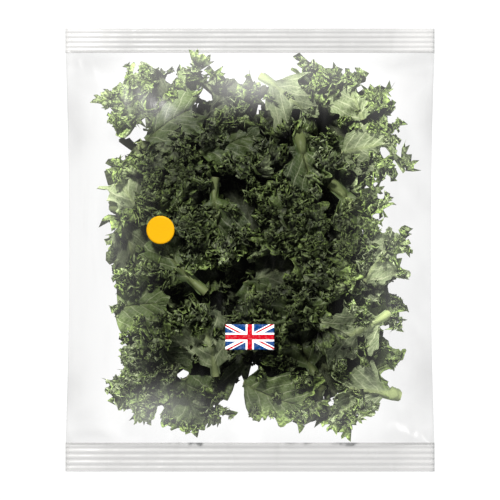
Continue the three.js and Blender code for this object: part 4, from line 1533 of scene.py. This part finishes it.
def makeSeal(name, sealTree, low, high, seed, material):
    piece = meshObject(name, [(0, 0, 0), (mm, 0, 0), (0, mm, 0)], [(0, 1, 2)])
    useTree(piece, sealTree, {
        "Width": pouch["width"] * mm,
        "Length": (high - low) * mm,
        "Ribs": seal["ribs"],
        "Rib Height": seal["ribHeight"] * mm,
        "Columns": seal["columns"],
        "Rows": seal["rows"],
        "Middle": (0.0, (low + high) / 2 * mm, pouch["seamHeight"] * mm),
        "Warp": seal["warp"] * mm,
        "Seed": seed,
        "Material": material,
    })
    piece.data.shade_smooth()
    thicken(piece, seal["thickness"], use_quality_normals=True)
    finishFilm(piece)


filmClear = filmMaterial("filmClear", film["clear"], film["hazy"], film["backShare"], film["edgeTone"], True)
filmSealed = filmMaterial("filmSealed", seal["clear"], seal["hazy"], 1.0, seal["tone"])
makePouch(filmClear)
sealTree = buildSealTree()
makeSeal("topSeal", sealTree, topEdge - seal["overlap"], pouch["length"] / 2, 1, filmSealed)
makeSeal("bottomSeal", sealTree, -pouch["length"] / 2, bottomEdge + seal["overlap"], 2, filmSealed)
print("film pouch and seals made")

prints = {
    "lift": 0.12,
    "thickness": 0.16 * mm,
    "shine": 0.05,
    "flagPlace": (-0.15, -58.1),
    "flagSize": (32.5, 17.0),
    "flagGrid": (34, 18),
    "spotPlace": (-59.8, 13.4),
    "spotRadius": 9.4,
    "spotGrid": (8, 64),  # its rings, and the points round each
}
printColors = {
    "blue": rgb(0.000, 0.030, 0.125),
    "red": rgb(0.330, 0.001, 0.008),
    "white": rgb(0.82, 0.82, 0.82),
    "yellow": rgb(0.395, 0.205, 0.002),
    "orange": rgb(0.365, 0.178, 0.002),
}


def printShader(name):
    material, tree, shader = newMaterial(name)
    place = put(tree, "ShaderNodeTexCoord").outputs["Object"]
    grain = noise(tree, place, 700.0, 2.0)
    feed(tree, shader.inputs["Roughness"], mapRange(tree, grain, 0.3, 0.7, 0.35, 0.5))
    shader.inputs["Specular IOR Level"].default_value = prints["shine"]
    return material, tree, shader, grain


def flagMaterial():
    # the cross and the two offset saltires, worked out from the place on the patch
    material, tree, shader, grain = printShader("flagPrint")
    plus, times = sums(tree)
    place = put(tree, "ShaderNodeTexCoord").outputs["Object"]
    axes = put(tree, "ShaderNodeSeparateXYZ", {"Vector": place}).outputs
    middle, size = prints["flagPlace"], prints["flagSize"]
    # the flag's own units are 60 by 30
    x = times(plus(axes["X"], -middle[0] * mm), 60 / (size[0] * mm))
    y = times(plus(axes["Y"], -middle[1] * mm), 30 / (size[1] * mm))
    right = calc(tree, "SIGN", x)
    long, short = 2 / math.sqrt(5), 1 / math.sqrt(5)
    falling = times(plus(times(x, -short), times(y, -long)), right)
    rising = times(plus(times(x, -short), times(y, long)), right)
    acrossX, acrossY = calc(tree, "ABSOLUTE", x), calc(tree, "ABSOLUTE", y)

    def either(first, second, low, high):
        bands = [times(calc(tree, "GREATER_THAN", value, low), calc(tree, "LESS_THAN", value, high))
                 for value in (first, second)]
        return calc(tree, "MAXIMUM", *bands)

    color = printColors["blue"]
    for band, name in ((either(falling, rising, -3.0, 3.0), "white"),
                       (either(times(falling, -1.0), rising, 0.0, 2.0), "red"),
                       (either(acrossX, acrossY, -1.0, 5.0), "white"),
                       (either(acrossX, acrossY, -1.0, 3.0), "red")):
        color = mixColor(tree, band, color, printColors[name])
    worn = mixColor(tree, times(mapRange(tree, grain, 0.45, 0.75), 0.08), color, printColors["white"])
    feed(tree, shader.inputs["Base Color"], worn)
    return material


def spotMaterial():
    material, tree, shader, grain = printShader("spotPrint")
    color = mixColor(tree, mapRange(tree, grain, 0.35, 0.7), printColors["yellow"], printColors["orange"])
    feed(tree, shader.inputs["Base Color"], mixColor(tree, 0.75, color, printColors["yellow"]))
    return material


def makePrint(name, flatPoints, faces, material):
    x, y = flatPoints.T
    z = filmTop(x, y) + prints["lift"]
    piece = meshObject(name, np.stack([x, y, z], -1) * mm, faces)
    thicken(piece, prints["thickness"], use_quality_normals=True)
    piece.data.materials.append(material)
    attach(piece, "root")


def makeFlag():
    middle, size = prints["flagPlace"], prints["flagSize"]
    x, y = np.meshgrid(*(np.linspace(-0.5, 0.5, prints["flagGrid"][i]) * size[i] + middle[i] for i in (0, 1)))
    makePrint("flagPatch", np.stack([x, y], -1).reshape(-1, 2), gridFaces(*x.shape), flagMaterial())


def makeSpot():
    ringCount, around = prints["spotGrid"]
    rings = np.linspace(0, prints["spotRadius"], ringCount + 1)[1:]
    angle = turn * np.arange(around) / around
    ring = np.stack([np.cos(angle), np.sin(angle)], -1)
    points = np.concatenate([np.zeros((1, 2)), (rings[:, None, None] * ring[None]).reshape(-1, 2)])
    # rings are numbered from 1, after the middle point
    faces = [[0, 1 + i, 1 + (i + 1) % around] for i in range(around)]
    faces += (gridFaces(len(rings), around, closed=True)[:, ::-1] + 1).tolist()
    makePrint("yellowSpot", points + prints["spotPlace"], faces, spotMaterial())


makeFlag()
makeSpot()
print("prints made")


studio = {
    "floorColor": rgb(0.02, 0.02, 0.02),
    "floorGlow": (0.35, 1.0),  # as it lights the pouch, and as it is seen
    "worldStrength": 0.02,
}


def addFloor():
    floor = meshObject("floor", [(-3, -3, 0), (3, -3, 0), (3, 3, 0), (-3, 3, 0)], [(0, 1, 2, 3)])
    material, tree, shader = newMaterial("paleFloor")
    for socket, value in (("Base Color", studio["floorColor"]), ("Roughness", 0.9),
                          ("Emission Color", rgb(1, 1, 1))):
        shader.inputs[socket].default_value = value
    seen = put(tree, "ShaderNodeLightPath").outputs["Is Camera Ray"]
    feed(tree, shader.inputs["Emission Strength"], mapRange(tree, seen, 0.0, 1.0, *studio["floorGlow"]))
    floor.data.materials.append(material)
    floor.location.z = -0.001
    floor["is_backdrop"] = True


def addLight(name, place, size, power, color):
    data = bpy.data.lights.new(name, "AREA")
    data.shape = "DISK"
    data.size = size
    data.energy = power
    data.color = color
    light = bpy.data.objects.new(name, data)
    light.location = place
    light.rotation_euler = (-light.location).to_track_quat("-Z", "Y").to_euler()
    bpy.context.scene.collection.objects.link(light)


lights = {
    "key": ((-0.4, 0.95, 1.3), 0.24, 69, (1.0, 0.985, 0.96)),
    "fillRight": ((1.2, 0.1, 0.85), 0.9, 10, (0.97, 0.985, 1.0)),
    "fillLeft": ((-1.2, 0.1, 0.85), 0.9, 3, (0.97, 0.985, 1.0)),
    "fillFront": ((0.1, -1.3, 0.9), 0.9, 13, (1.0, 1.0, 1.0)),
}
addFloor()
for name, (place, size, power, color) in lights.items():
    addLight(name, place, size, power, color)

world = bpy.data.worlds.new("studio")
bpy.context.scene.world = world
world.use_nodes = True
background = world.node_tree.nodes["Background"].inputs
background["Color"].default_value = rgb(1, 1, 1)
background["Strength"].default_value = studio["worldStrength"]
bpy.context.scene.view_settings.view_transform = "Standard"
print("floor, lights and world ready")

counts = {p.name: sum(len(f.vertices) - 2 for f in p.data.polygons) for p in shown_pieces() if p.type == "MESH"}
print("triangles:", sum(counts.values()), "largest:", max(counts.items(), key=lambda item: item[1]))
